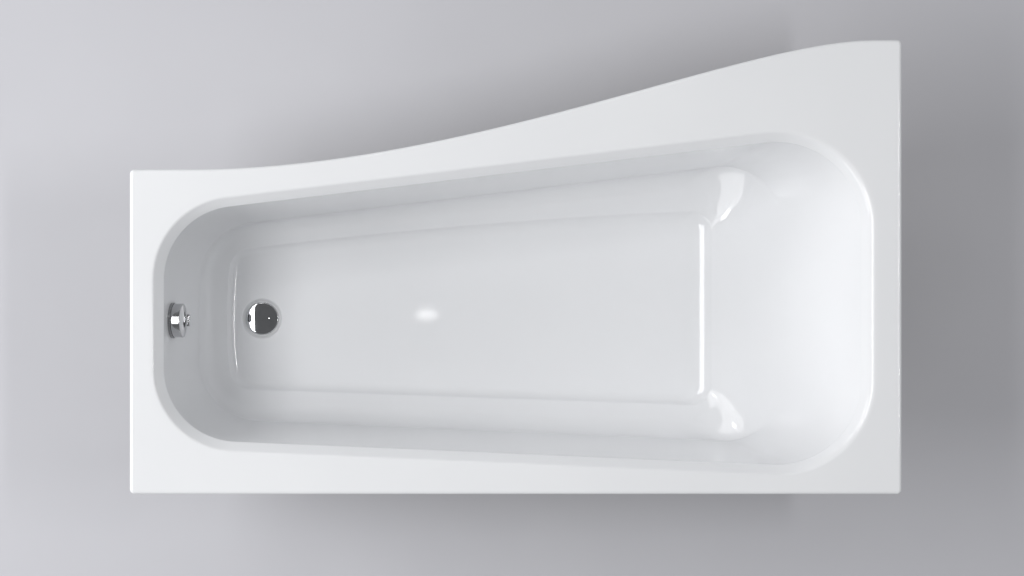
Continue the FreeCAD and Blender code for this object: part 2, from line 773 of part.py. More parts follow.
def drain_flange():
    """Pressed flange with a neck through the floor and a spider for the screw."""
    bore = NECK_RADIUS - FLANGE_NECK_WALL
    turned = revolved(
        [
            (bore, FLANGE_THICKNESS),
            (FLANGE_DIAMETER / 2 - FLANGE_BEVEL, FLANGE_THICKNESS),
            (FLANGE_DIAMETER / 2, FLANGE_THICKNESS - FLANGE_BEVEL),
            (FLANGE_DIAMETER / 2, 0),
            (NECK_RADIUS, 0),
            (NECK_RADIUS, -FLANGE_NECK_LENGTH),
            (bore, -FLANGE_NECK_LENGTH),
        ],
        on_drain(FLANGE_Z),
    )
    return turned.fuse(spider(2 * bore + FLANGE_NECK_WALL, SPIDER_Z - SPIDER_THICKNESS))


def drain_screw():
    """Hollow screw that also guides the plug's stem."""
    length = SPIDER_Z - WASTE_SPIDER_Z + SPIDER_THICKNESS
    head = post(DRAIN_SCREW_HEAD, DRAIN_SCREW_HEAD_HEIGHT, on_drain(SPIDER_Z))
    shank = post(DRAIN_SCREW_DIAMETER, length, on_drain(SPIDER_Z - length))
    bore = post(STEM_DIAMETER + 2 * RUNNING, length + DRAIN_SCREW_HEAD_HEIGHT, on_drain(SPIDER_Z - length))
    return head.fuse(shank).cut(bore)


def drain_plug():
    """Domed cap: a flat underside, a short upright edge and a spherical top."""
    radius = PLUG_DIAMETER / 2
    rise = PLUG_DOME - PLUG_EDGE
    sphere = (radius ** 2 + rise ** 2) / (2 * rise)
    half_way = PLUG_DOME - sphere + math.sqrt(sphere ** 2 - (radius / 2) ** 2)
    base = on_drain(PLUG_Z)
    rim = base + Vector(radius, 0, 0)
    shoulder = base + Vector(radius, 0, PLUG_EDGE)
    middle = base + Vector(radius / 2, 0, half_way)
    top = base + Vector(0, 0, PLUG_DOME)
    outline = Part.Wire([
        Part.LineSegment(base, rim).toShape(),
        Part.LineSegment(rim, shoulder).toShape(),
        Part.Arc(shoulder, middle, top).toShape(),
        Part.LineSegment(top, base).toShape(),
    ])
    cap = Part.Face(outline).revolve(base, UP, 360)
    return cap.makeFillet(PLUG_EDGE_ROUND, edges_at(cap, PLUG_Z + PLUG_EDGE))


# Waste body and the rocker that lifts the plug

WASTE_SPIDER_Z = FLANGE_Z - FLANGE_NECK_LENGTH - WASTE_SPIDER_GAP
WASTE_RADIUS = WASTE_BODY_DIAMETER / 2
WASTE_BASE_Z = WASTE_TOP_Z - WASTE_BODY_DEPTH
INLET_Z = WASTE_TOP_Z - INLET_DROP
OUTLET_Z = WASTE_TOP_Z - OUTLET_DROP
CABLE_Z = WASTE_TOP_Z - CABLE_DROP
INLET_END_X = DRAIN.x - WASTE_RADIUS - INLET_LENGTH
OUTLET_END_Y = DRAIN.y - WASTE_RADIUS - OUTLET_LENGTH
HALF_SWING = math.atan(PLUG_LIFT / (2 * ROCKER_REACH))
PIVOT = Vector(
    DRAIN.x + ROCKER_REACH,
    DRAIN.y,
    STEM_END_Z
    - ROCKER_STEM_GAP
    + (ROCKER_REACH - STEM_DIAMETER / 2) * math.tan(HALF_SWING)
    - ROCKER_THICKNESS / 2 / math.cos(HALF_SWING),
)
PIN_LENGTH = ROCKER_WIDTH + 2 * RUNNING + 2 * ROCKER_LUG
TOWARDS_FOOT = Vector(-1, 0, 0)
TOWARDS_WALL = Vector(0, -1, 0)
TOWARDS_FRONT = Vector(0, 1, 0)
PIN_START = PIVOT - TOWARDS_FRONT * (PIN_LENGTH / 2)
CABLE_Y = DRAIN.y + CABLE_OFFSET


def waste_body():
    """Moulded cup under the drain, with its flange, spigots, cable gland, spider and rocker lugs."""
    half_bore = WASTE_RADIUS - PLASTIC_WALL
    inlet, outlet = on_drain(INLET_Z), on_drain(OUTLET_Z)
    gland_reach = math.sqrt(WASTE_RADIUS ** 2 - CABLE_OFFSET ** 2) + CABLE_GLAND_LENGTH
    gland = Vector(DRAIN.x, CABLE_Y, CABLE_Z)
    outside = post(WASTE_BODY_DIAMETER, WASTE_BODY_DEPTH, on_drain(WASTE_BASE_Z)).fuse([
        post(WASTE_FLANGE_DIAMETER, WASTE_FLANGE, on_drain(WASTE_TOP_Z - WASTE_FLANGE)),
        post(INLET_DIAMETER, DRAIN.x - INLET_END_X, inlet, TOWARDS_FOOT),
        post(PIPE_DIAMETER, DRAIN.y - OUTLET_END_Y, outlet, TOWARDS_WALL),
        post(CABLE_GLAND_DIAMETER, gland_reach, gland, TOWARDS_FOOT),
    ])
    gland_end = gland + TOWARDS_FOOT * gland_reach
    body = outside.cut([
        post(2 * half_bore, WASTE_BODY_DEPTH - PLASTIC_WALL, on_drain(WASTE_BASE_Z + PLASTIC_WALL)),
        post(INLET_DIAMETER - 2 * PLASTIC_WALL, DRAIN.x - INLET_END_X, inlet, TOWARDS_FOOT),
        post(PIPE_DIAMETER - 2 * PIPE_WALL, DRAIN.y - OUTLET_END_Y, outlet, TOWARDS_WALL),
        post(CABLE_DIAMETER + 2 * SEATED, CABLE_GLAND_LENGTH / 2, gland_end, -TOWARDS_FOOT),
    ])
    lug_width = ROCKER_PIN_DIAMETER + 2 * ROCKER_LUG_WALL
    lug_height = PIVOT.z + lug_width / 2 - WASTE_BASE_Z - PLASTIC_WALL / 2
    lugs = []
    for side in (-1, 1):
        across = side * (PIN_LENGTH - ROCKER_LUG) / 2
        place = PIVOT + Vector(0, across, 0)
        base_z = WASTE_BASE_Z + PLASTIC_WALL / 2
        lugs.append(block(lug_width, ROCKER_LUG, lug_height, place, base_z))
    hub = spider(2 * half_bore + PLASTIC_WALL, WASTE_SPIDER_Z - SPIDER_THICKNESS)
    pin_hole = post(ROCKER_PIN_DIAMETER + 2 * SEATED, PIN_LENGTH, PIN_START, TOWARDS_FRONT)
    return body.fuse(lugs + [hub]).cut(pin_hole)


def lift_rocker():
    """Cranked lever, drawn tip down: the long arm lifts the stem, the short one takes the cable's pull."""
    width = Vector(0, ROCKER_WIDTH / 2, 0)
    bore_diameter = ROCKER_PIN_DIAMETER + 2 * RUNNING
    boss = post(bore_diameter + 2 * ROCKER_BOSS_WALL, ROCKER_WIDTH, PIVOT - width, TOWARDS_FRONT)
    reach = ROCKER_REACH + ROCKER_TIP
    half = ROCKER_THICKNESS / 2
    arm_corner = PIVOT - width - Vector(reach, 0, half)
    arm = Part.makeBox(reach, ROCKER_WIDTH, ROCKER_THICKNESS, arm_corner)
    tail_corner = PIVOT - width - Vector(half, 0, ROCKER_TAIL)
    tail = Part.makeBox(ROCKER_THICKNESS, ROCKER_WIDTH, ROCKER_TAIL, tail_corner)
    rocker = boss.fuse([arm, tail]).cut(post(bore_diameter, ROCKER_WIDTH, PIVOT - width, TOWARDS_FRONT))
    rocker.rotate(PIVOT, TOWARDS_FRONT, -math.degrees(HALF_SWING))
    return rocker


# Trap and waste pipe

def grip_nut(outer, inner, length, base, axis):
    """Hand-tightened pipe nut with flutes round it."""
    sleeve = ring(outer, inner, length, base, axis)
    side = axis.cross(UP)
    side = side.normalize() if side.Length > 0.5 else Vector(1, 0, 0)
    flute = post(FLUTE_DIAMETER, length, base + side * (outer / 2 + FLUTE_RISE), axis)
    flutes = []
    for i in range(NUT_FLUTES):
        turned = flute.copy()
        turned.rotate(base, axis, 360 * i / NUT_FLUTES)
        flutes.append(turned)
    return sleeve.cut(flutes)


TRAP_START = Vector(DRAIN.x, OUTLET_END_Y - RUNNING, OUTLET_Z)


def trap_path():
    """Centre line of the trap: level run, drop, water seal, rise and level run."""
    r = TRAP_BEND_RADIUS
    p = TRAP_START
    turns = [
        p,
        p + Vector(0, -TRAP_RUN, 0),
        p + Vector(0, -TRAP_RUN - r, -r),
        p + Vector(0, -TRAP_RUN - 2 * r, -2 * r),
        p + Vector(0, -TRAP_RUN - 3 * r, -r),
        p + Vector(0, -TRAP_RUN - 4 * r, 0),
        p + Vector(0, -2 * TRAP_RUN - 4 * r, 0),
    ]
    edges = [
        Part.LineSegment(turns[0], turns[1]).toShape(),
        bend_arc(turns[1], turns[1] + Vector(0, -r, 0), turns[2]),
        bend_arc(turns[2], turns[2] + Vector(0, 0, -r), turns[3]),
        bend_arc(turns[3], turns[3] + Vector(0, -r, 0), turns[4]),
        bend_arc(turns[4], turns[4] + Vector(0, 0, r), turns[5]),
        Part.LineSegment(turns[5], turns[6]).toShape(),
    ]
    return Part.Wire(edges)


TRAP_END = TRAP_START + TOWARDS_WALL * (2 * TRAP_RUN + 4 * TRAP_BEND_RADIUS)


def trap_nut(joint_y):
    """Nut over the joint of two pipes, half on each side of it."""
    base = Vector(DRAIN.x, joint_y + TRAP_NUT_LENGTH / 2, OUTLET_Z)
    return grip_nut(TRAP_NUT_DIAMETER, PIPE_DIAMETER + 2 * RUNNING, TRAP_NUT_LENGTH, base, TOWARDS_WALL)


def outlet_pipe():
    """Plain end of waste pipe for the house drain, with the collar that its nut stops at."""
    base = TRAP_END + TOWARDS_WALL * RUNNING
    collar_base = base + TOWARDS_WALL * (TRAP_NUT_LENGTH / 2)
    collar = post(OUTLET_COLLAR_DIAMETER, OUTLET_COLLAR, collar_base, TOWARDS_WALL)
    pipe = post(PIPE_DIAMETER, OUTLET_PIPE_LENGTH, base, TOWARDS_WALL).fuse(collar)
    return pipe.cut(post(PIPE_DIAMETER - 2 * PIPE_WALL, OUTLET_PIPE_LENGTH, base, TOWARDS_WALL))


# Overflow and knob, drawn in the overflow's own frame

KNOB_BACK = ROSETTE_THICKNESS + RUNNING
KNOB_INSIDE = KNOB_BACK + KNOB_SKIRT
ROSETTE_NECK = OVERFLOW_HOLE - 2 * RUNNING
SCREW_PLACES = (-OVERFLOW_SCREW_SPACING / 2, OVERFLOW_SCREW_SPACING / 2)


def overflow_bar(span, back):
    """Bar across a round bore, with a hub for the spindle and two screw holes."""
    bar = Part.makeBox(
        ROSETTE_BAR, span, ROSETTE_BAR_THICKNESS, Vector(-ROSETTE_BAR / 2, -span / 2, back)
    )
    bar = bar.fuse(post(KNOB_SPINDLE_DIAMETER + 2 * BAR_HUB_WALL, ROSETTE_BAR_THICKNESS, local(back)))
    bar = bar.common(post(span, ROSETTE_BAR_THICKNESS, local(back)))
    holes = [
        post(OVERFLOW_SCREW_DIAMETER + 2 * SEATED, ROSETTE_BAR_THICKNESS, local(back, across))
        for across in SCREW_PLACES
    ]
    holes.append(post(KNOB_SPINDLE_DIAMETER + 2 * RUNNING, ROSETTE_BAR_THICKNESS, local(back)))
    return bar.cut(holes)


def overflow_rosette():
    """Fixed ring on the wall with a neck through the hole and a bar for the screws."""
    bore = ROSETTE_NECK - 2 * ROSETTE_NECK_WALL
    plate = post(ROSETTE_DIAMETER, ROSETTE_THICKNESS, local(0))
    plate = plate.makeFillet(ROSETTE_EDGE_ROUND, edges_at(plate, ROSETTE_THICKNESS))
    neck = post(ROSETTE_NECK, ROSETTE_THICKNESS + ROSETTE_NECK_FORWARD - GASKET_BACK, local(GASKET_BACK))
    bored = plate.fuse(neck).cut(post(bore, 2 * neck.BoundBox.ZLength, local(-neck.BoundBox.ZLength)))
    return bored.fuse(overflow_bar(bore + ROSETTE_NECK_WALL, ROSETTE_THICKNESS - ROSETTE_BAR_THICKNESS))


def overflow_knob():
    """Drum with a crowned face, a grip at its lower edge, a sunk mark and a water inlet below."""
    radius = KNOB_DIAMETER / 2
    face_z = KNOB_INSIDE + KNOB_FACE
    top_z = face_z + KNOB_CROWN
    crown_radius = (radius ** 2 + KNOB_CROWN ** 2) / (2 * KNOB_CROWN)
    crown = Part.makeSphere(crown_radius, local(top_z - crown_radius))
    drum = post(KNOB_DIAMETER, top_z - KNOB_BACK, local(KNOB_BACK)).common(crown)
    grip = Part.makeBox(
        KNOB_GRIP_DEPTH,
        KNOB_GRIP_WIDTH,
        KNOB_FACE + KNOB_GRIP_HEIGHT,
        Vector(radius + KNOB_GRIP_OVERHANG - KNOB_GRIP_DEPTH, -KNOB_GRIP_WIDTH / 2, KNOB_INSIDE),
    )
    grip = grip.makeFillet(KNOB_EDGE_ROUND, [edge for edge in grip.Edges if edge.BoundBox.ZMax > face_z])
    drum = drum.makeFillet(KNOB_EDGE_ROUND, edges_at(drum, face_z)).fuse(grip)
    hollow = post(KNOB_DIAMETER - 2 * KNOB_SKIRT_WALL, KNOB_SKIRT, local(KNOB_BACK))
    inlet = Part.makeBox(radius, KNOB_WINDOW, KNOB_SKIRT, Vector(0, -KNOB_WINDOW / 2, KNOB_BACK))
    mark_fall = (KNOB_MARK_UP ** 2 + KNOB_MARK_ASIDE ** 2) / (2 * crown_radius)
    mark = Part.makeBox(
        KNOB_MARK_WIDTH,
        KNOB_MARK_LENGTH,
        KNOB_MARK_DEPTH + KNOB_CROWN,
        Vector(
            -KNOB_MARK_UP - KNOB_MARK_WIDTH / 2,
            -KNOB_MARK_ASIDE - KNOB_MARK_LENGTH / 2,
            top_z - mark_fall - KNOB_MARK_DEPTH,
        ),
    )
    return drum.cut([hollow, inlet, mark])


CAM_BACK = GASKET_BACK - OVERFLOW_FLANGE - ROSETTE_BAR_THICKNESS - CAM_THICKNESS


def cable_cam():
    """Wheel on the spindle, with a groove that winds the cable."""
    bore = KNOB_SPINDLE_DIAMETER / 2 + SEATED
    radius = CAM_DIAMETER / 2
    middle = CAM_THICKNESS / 2
    return revolved(
        [
            (bore, 0),
            (radius, 0),
            (radius, middle - CAM_GROOVE),
            (radius - CAM_GROOVE, middle),
            (radius, middle + CAM_GROOVE),
            (radius, CAM_THICKNESS),
            (bore, CAM_THICKNESS),
        ],
        local(CAM_BACK),
    )


CUP_CHORD = math.sqrt((OVERFLOW_CUP_DIAMETER / 2) ** 2 - CABLE_OFFSET ** 2)
CABLE_TOP_Z = CUP_CENTRE.z - CUP_CHORD - CABLE_GLAND_LENGTH


def overflow_body():
    """Moulded cup behind the wall: flange, bar, outlet spigot and cable gland."""
    back = GASKET_BACK - OVERFLOW_CUP_DEPTH
    bore = OVERFLOW_CUP_DIAMETER - 2 * PLASTIC_WALL
    flange = post(OVERFLOW_FLANGE_DIAMETER, OVERFLOW_FLANGE, local(GASKET_BACK - OVERFLOW_FLANGE))
    cup = at_overflow(post(OVERFLOW_CUP_DIAMETER, OVERFLOW_CUP_DEPTH, local(back)).fuse(flange))
    hollow = at_overflow(post(bore, OVERFLOW_CUP_DEPTH - PLASTIC_WALL, local(back + PLASTIC_WALL)))
    spigot_base = lifted(CUP_CENTRE, SPIGOT_END_Z)
    spigot_length = CUP_CENTRE.z - SPIGOT_END_Z
    gland_base = Vector(CUP_CENTRE.x, CABLE_Y, CABLE_TOP_Z)
    outside = cup.fuse([
        post(INLET_DIAMETER, spigot_length, spigot_base),
        post(CABLE_GLAND_DIAMETER, CUP_CENTRE.z - CABLE_TOP_Z, gland_base),
    ])
    body = outside.cut([
        hollow,
        post(INLET_DIAMETER - 2 * PLASTIC_WALL, spigot_length, spigot_base),
        post(CABLE_DIAMETER + 2 * SEATED, CABLE_GLAND_LENGTH / 2, gland_base),
    ])
    bar = overflow_bar(bore + PLASTIC_WALL, GASKET_BACK - OVERFLOW_FLANGE)
    return body.fuse(at_overflow(bar))


def overflow_screw(across):
    """Screw through the rosette's bar into the body's bar."""
    return screw(
        OVERFLOW_SCREW_DIAMETER,
        ROSETTE_THICKNESS - GASKET_BACK + OVERFLOW_FLANGE + OVERFLOW_SCREW_PAST,
        OVERFLOW_SCREW_PAST,
        OVERFLOW_SCREW_HEAD,
        OVERFLOW_SCREW_HEAD_HEIGHT,
        OVERFLOW_SCREW_BEVEL,
        local(ROSETTE_THICKNESS, across),
    )


def elbow_path(top, bend_radius, end_x, end_z):
    """Centre line that drops from a point, bends once and runs level towards the head end."""
    bend_top = Vector(top.x, top.y, end_z + bend_radius)
    bend_end = Vector(top.x + bend_radius, top.y, end_z)
    return Part.Wire([
        Part.LineSegment(top, bend_top).toShape(),
        bend_arc(bend_top, Vector(top.x, top.y, end_z), bend_end),
        Part.LineSegment(bend_end, Vector(end_x, top.y, end_z)).toShape(),
    ])


def overflow_pipe():
    """Bent pipe from the overflow down to the waste body."""
    top = lifted(CUP_CENTRE, SPIGOT_END_Z - RUNNING)
    path = elbow_path(top, OVERFLOW_BEND_RADIUS, INLET_END_X - RUNNING, INLET_Z)
    return bent_pipe(path, OVERFLOW_PIPE_DIAMETER, OVERFLOW_PIPE_DIAMETER - 2 * PIPE_WALL)


def overflow_nut(base, axis):
    """Nut over the joint between the overflow pipe and a spigot."""
    return grip_nut(OVERFLOW_NUT_DIAMETER, INLET_DIAMETER + 2 * RUNNING, OVERFLOW_NUT_LENGTH, base, axis)


def control_cable():
    """Sheathed cable from gland to gland, beside the overflow pipe."""
    top = Vector(CUP_CENTRE.x, CABLE_Y, CABLE_TOP_Z + CABLE_GLAND_LENGTH / 2)
    gland_x = DRAIN.x - math.sqrt(WASTE_RADIUS ** 2 - CABLE_OFFSET ** 2) - CABLE_GLAND_LENGTH / 2
    return bent_pipe(elbow_path(top, CABLE_BEND_RADIUS, gland_x, CABLE_Z), CABLE_DIAMETER)


# Pieces by name

PIECES = {
    "acrylic_shell": acrylic_shell(),
    "base_board": base_board(),
    "rim_board_front": rim_board(
        Vector(RIM_BOARD_START, WALL_Y + RIM_BOARD_SPLIT, 0), Vector(HEAD_X, WALL_Y + HEAD_WIDTH, 0)
    ),
    "rim_board_head": rim_board(
        Vector(OPEN_HEAD_X, WALL_Y + RIM_BOARD_END, 0), Vector(HEAD_X, WALL_Y + RIM_BOARD_SPLIT - RUNNING, 0)
    ),
    "cross_rail_foot": cross_rail(FOOT_RAIL),
    "cross_rail_head": cross_rail(HEAD_RAIL),
    "rail_screws": Part.makeCompound([rail_screw(place) for place in RAIL_SCREWS]),
    "weld_nuts": Part.makeCompound([nut(place, WEB_Z, NUT_HEIGHT) for place in LEGS.values()]),
    "lock_nuts": Part.makeCompound([
        nut(place, WEB_Z - NUT_HEIGHT, LOCK_NUT_HEIGHT) for place in LEGS.values()
    ]),
    "drain_seal": ring(FLANGE_DIAMETER - 2 * SEAL_SETBACK, DRAIN_HOLE, DRAIN_SEAL, on_drain(DISH_Z)),
    "drain_flange": drain_flange(),
    "drain_screw": drain_screw(),
    "drain_plug": drain_plug(),
    "plug_stem": post(STEM_DIAMETER, STEM_LENGTH, on_drain(STEM_END_Z)),
    "plug_seal": ring(
        PLUG_SEAL_OUTER, PLUG_SEAL_INNER, PLUG_SEAL_HEIGHT, on_drain(PLUG_Z - PLUG_SEAL_HEIGHT)
    ),
    "waste_gasket": ring(
        WASTE_FLANGE_DIAMETER - 2 * SEAL_SETBACK, DRAIN_HOLE, WASTE_GASKET, on_drain(WASTE_TOP_Z)
    ),
    "waste_body": waste_body(),
    "rocker_pin": post(ROCKER_PIN_DIAMETER, PIN_LENGTH, PIN_START, TOWARDS_FRONT),
    "lift_rocker": lift_rocker(),
    "trap_inlet_nut": trap_nut(OUTLET_END_Y),
    "trap_bend": bent_pipe(trap_path(), PIPE_DIAMETER, PIPE_DIAMETER - 2 * PIPE_WALL),
    "trap_outlet_nut": trap_nut(TRAP_END.y),
    "outlet_pipe": outlet_pipe(),
    "overflow_rosette": at_overflow(overflow_rosette()),
    "overflow_knob": at_overflow(overflow_knob()),
    "knob_spindle": at_overflow(post(KNOB_SPINDLE_DIAMETER, KNOB_INSIDE - CAM_BACK, local(CAM_BACK))),
    "cable_cam": at_overflow(cable_cam()),
    "overflow_gasket": at_overflow(
        ring(OVERFLOW_FLANGE_DIAMETER - 2 * SEAL_SETBACK, OVERFLOW_HOLE, OVERFLOW_GASKET, local(GASKET_BACK))
    ),
    "overflow_body": overflow_body(),
    "overflow_screws": at_overflow(Part.makeCompound([overflow_screw(across) for across in SCREW_PLACES])),
    "overflow_pipe": overflow_pipe(),
    "overflow_nut_top": overflow_nut(lifted(CUP_CENTRE, SPIGOT_END_Z - OVERFLOW_NUT_LENGTH / 2), UP),
    "overflow_nut_base": overflow_nut(
        Vector(INLET_END_X + OVERFLOW_NUT_LENGTH / 2, DRAIN.y, INLET_Z), TOWARDS_FOOT
    ),
    "control_cable": control_cable(),
}
for corner, place in LEGS.items():
    PIECES["leg_spindle_" + corner] = leg_spindle(place)
    PIECES["leg_pad_" + corner] = leg_pad(place)

os.makedirs("parts", exist_ok=True)
for name, shape in PIECES.items():
    shape.exportStep("parts/" + name + ".step")
    solids = shape.Solids
    print(name, len(solids), shape.isValid(), round(sum(solid.Volume for solid in solids) / 1000, 2))
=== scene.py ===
import cmath
import json
import math

import bmesh
import bpy
from mathutils import Matrix, Vector


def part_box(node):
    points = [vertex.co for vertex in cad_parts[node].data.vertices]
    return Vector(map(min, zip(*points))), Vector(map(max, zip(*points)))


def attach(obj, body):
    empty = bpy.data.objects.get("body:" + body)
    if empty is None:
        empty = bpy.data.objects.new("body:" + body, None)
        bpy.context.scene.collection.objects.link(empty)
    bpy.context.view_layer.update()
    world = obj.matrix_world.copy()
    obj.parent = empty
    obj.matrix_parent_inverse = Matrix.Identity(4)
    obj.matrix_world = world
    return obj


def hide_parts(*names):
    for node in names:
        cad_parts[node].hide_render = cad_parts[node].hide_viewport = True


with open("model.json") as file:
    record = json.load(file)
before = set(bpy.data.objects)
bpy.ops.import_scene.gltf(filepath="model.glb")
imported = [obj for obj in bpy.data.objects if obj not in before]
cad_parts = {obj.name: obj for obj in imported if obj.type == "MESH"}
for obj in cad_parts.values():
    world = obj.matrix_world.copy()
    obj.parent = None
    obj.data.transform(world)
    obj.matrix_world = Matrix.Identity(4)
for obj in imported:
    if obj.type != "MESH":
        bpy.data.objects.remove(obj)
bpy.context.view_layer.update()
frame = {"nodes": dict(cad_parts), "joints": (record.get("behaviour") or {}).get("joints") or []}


# Acrylic shell
# One sheet of white sanitary acrylic, drawn by vacuum over a mould: flat rim with a turned-down lip, drafted
# walls, sloping backrest and stepped floor. Resin with chopped glass fibre is sprayed on its back.

shell_low, shell_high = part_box("acrylic_shell")
rim_top = shell_high.z
sheet = 0.006
foot_x, head_x = shell_low.x, shell_high.x
wall_y, front_y = shell_low.y, shell_high.y
foot_width = 0.715
lip_drop = 0.038
rim_corner = 0.010
rim_edge_round, lip_edge_round, lip_inner_round = 0.007, 0.0015, 0.003
rim_edge_run, lip_inner_run = 0.0085, 0.0035
front_foot_flat, front_head_flat = 0.130, 0.058
front_foot_sweep, front_head_sweep = 0.613, 0.291

opening_foot_x, opening_head_x = foot_x + 0.052, head_x - 0.066
wall_ledge_foot, wall_ledge_head = 0.104, 0.031
front_ledge_foot, front_ledge_head = 0.087, 0.169
opening_foot_radius, opening_head_radius = 0.183, 0.208
wall_foot_corner, wall_head_corner = 0.140, 0.120
floor_foot_radius, floor_head_radius = 0.038, 0.036
floor_foot_bow, floor_front_bow = 0.013, 0.013

well_depth = 0.420
step_depth = 0.015
side_ledge_fall, head_ledge_fall = 0.024, 0.072
opening_run = 0.020
side_rim_roll, head_rim_roll = 0.009, 0.022
band_width, band_depth, band_edge_round = 0.020, 0.024, 0.007
side_base_round, head_base_round = 0.060, 0.520
step_edge_round = 0.005
side_step_base_round, head_step_base_round = 0.026, 0.085
side_riser, head_riser = 0.012, 0.030
side_floor_run, head_floor_run = 0.016, 0.026
back_rim_round, back_band_round, back_step_round = 0.003, 0.010, 0.004
side_draft, foot_draft, backrest_slope = math.radians(5), math.radians(6), math.radians(33)
floor_runs = {
    "foot": 0.136, "head": 0.3475,
    "front_foot": 0.118, "front_head": 0.159,
    "wall_foot": 0.129, "wall_head": 0.138,
}

drain_x, drain_y = foot_x + 0.246, wall_y + 0.381
dish_radius, dish_base_radius, dish_depth, dish_edge_round = 0.048, 0.042, 0.006, 0.0025
dish_surround = 0.008
drain_hole_radius, drain_hole_round = 0.026, 0.001
overflow_hole_radius, overflow_hole_reach = 0.027, 0.030

side_names = ("wall", "head", "front", "foot")
side_steps = (64, 28, 64, 28)
corner_steps, settling_steps, halving_steps = 28, 12, 40
round_steps = 96
well_arc_steps = (8, 6, 14, 6, 8)
well_run_steps = (2, 3, 16, 6, 2, 2)
band_end = sum(well_run_steps[:2]) + sum(well_arc_steps[:2])
wall_end = band_end + well_run_steps[2]
base_end = wall_end + well_arc_steps[2]
step_start = base_end + well_run_steps[3]
lip_back_loops = 5
crease = math.radians(35)


def mixed(start, end, share):
    """Value part of the way from one to another."""
    return start + (end - start) * share


def eased(share):
    """Share that starts and ends gently."""
    return share * share * (3 - 2 * share)


def rounded_profile(corners, rounds, arc_steps, run_steps):
    """Points of an open profile with its inner corners rounded, closer together beside the arcs."""
    points = [Vector(corners[0])]

    def run_to(end, steps):
        start = points[-1]
        for k in range(1, steps + 1):
            points.append(start.lerp(end, (1 - math.cos(math.pi * k / steps)) / 2))

    for i, radius in enumerate(rounds):
        before, corner, after = (Vector(c) for c in corners[i:i + 3])
        into, out = (corner - before).normalized(), (after - corner).normalized()
        turn = into.angle(out)
        run_to(corner - into * radius * math.tan(turn / 2), run_steps[i])
        start = points[-1]
        aside = (out - into * out.dot(into)).normalized()
        for k in range(1, arc_steps[i] + 1):
            angle = turn * k / arc_steps[i]
            points.append(start + into * radius * math.sin(angle) + aside * radius * (1 - math.cos(angle)))
    run_to(Vector(corners[-1]), run_steps[-1])
    return points


def well_profile(side, grow):
    """Section of the well at one side, from the rim to the floor, as inset and depth; grow is 0 inside."""
    if side == "head":
        lean, ledge_fall, riser, floor_run = backrest_slope, head_ledge_fall, head_riser, head_floor_run
        rim_roll, base_round, step_base_round = head_rim_roll, head_base_round, head_step_base_round
    else:
        lean = foot_draft if side == "foot" else side_draft
        ledge_fall, riser, floor_run = side_ledge_fall, side_riser, side_floor_run
        rim_roll, base_round, step_base_round = side_rim_roll, side_base_round, side_step_base_round
    floor_inset = floor_runs[side] - grow
    ledge_depth = well_depth - step_depth + grow
    base_depth = ledge_depth - ledge_fall
    band_inset = band_width - grow
    rim_inset = grow * band_width / band_depth - grow
    corners = [
        (rim_inset - opening_run, grow),
        (rim_inset, grow),
        (band_inset, band_depth),
        (band_inset + (base_depth - band_depth) * math.tan(lean), base_depth),
        (floor_inset - riser, ledge_depth),
        (floor_inset, well_depth + grow),
        (floor_inset + floor_run, well_depth + grow),
    ]
    if grow:
        rounds = (back_rim_round, back_band_round, base_round + grow, back_step_round, back_step_round)
    else:
        rounds = (rim_roll, band_edge_round, base_round, step_edge_round, step_base_round)
    return rounded_profile(corners, rounds, well_arc_steps, well_run_steps)


def plan_at(station, profile, end, grow):
    """Corner radius of the well in plan near one end, and the share of the floor's bow, at one station."""
    at_head = end == "head"
    opening = opening_head_radius if at_head else opening_foot_radius
    wall = (wall_head_corner if at_head else wall_foot_corner) + grow
    floor = (floor_head_radius if at_head else floor_foot_radius) + grow
    floor_inset = floor_runs["front_" + end] - grow
    base_depth = well_depth - step_depth + grow - side_ledge_fall
    wall_inset = band_width - grow + (base_depth - band_depth) * math.tan(side_draft)
    inset, depth = profile[station]
    if station <= band_end:
        return opening - inset, 0.0
    if station <= wall_end:
        share = (depth - band_depth) / (base_depth - band_depth)
        return mixed(opening - band_width + grow, wall, share), 0.0
    if station < base_end:
        share = (inset - profile[wall_end].x) / (profile[base_end].x - profile[wall_end].x)
        above, below = (plan_at(s, profile, end, grow) for s in (wall_end, base_end))
        return mixed(above[0], below[0], share), mixed(above[1], below[1], share)
    if station < step_start:
        share = (inset - wall_inset) / (floor_inset - side_riser - wall_inset)
        return mixed(wall, floor + side_riser, share), share
    return floor + floor_inset - inset, 1.0


def across_front(x):
    """Front edge of the opening at a place along the tub."""
    at_foot, at_head = wall_y + foot_width - front_ledge_foot, front_y - front_ledge_head
    return mixed(at_foot, at_head, (x - foot_x) / (head_x - foot_x))


def across_wall(x):
    """Wall-side edge of the opening at a place along the tub."""
    return wall_y + mixed(wall_ledge_foot, wall_ledge_head, (x - foot_x) / (head_x - foot_x))


class PlanSide:
    """Side of a loop in plan between two corners, anticlockwise: straight, or an arc bowed outwards."""

    def __init__(self, start, end, bow):
        self.start = start
        self.inward = 1j * (end - start) / abs(end - start)
        self.radius = (abs(end - start) ** 2 / 4 + bow ** 2) / (2 * bow) if bow > 1e-5 else None
        if self.radius:
            self.centre = (start + end) / 2 + self.inward * (self.radius - bow)

    def inside(self, point):
        """How far a point lies inside the side, and the way straight in from there."""
        if not self.radius:
            return ((point - self.start) * self.inward.conjugate()).real, self.inward
        spoke = self.centre - point
        return self.radius - abs(spoke), spoke / abs(spoke)

    def between(self, start, end, share):
        """Point on the side, part of the way between two of its points."""
        if not self.radius:
            return mixed(start, end, share)
        spoke = start - self.centre
        return self.centre + spoke * cmath.rect(1, cmath.phase((end - self.centre) / spoke) * share)


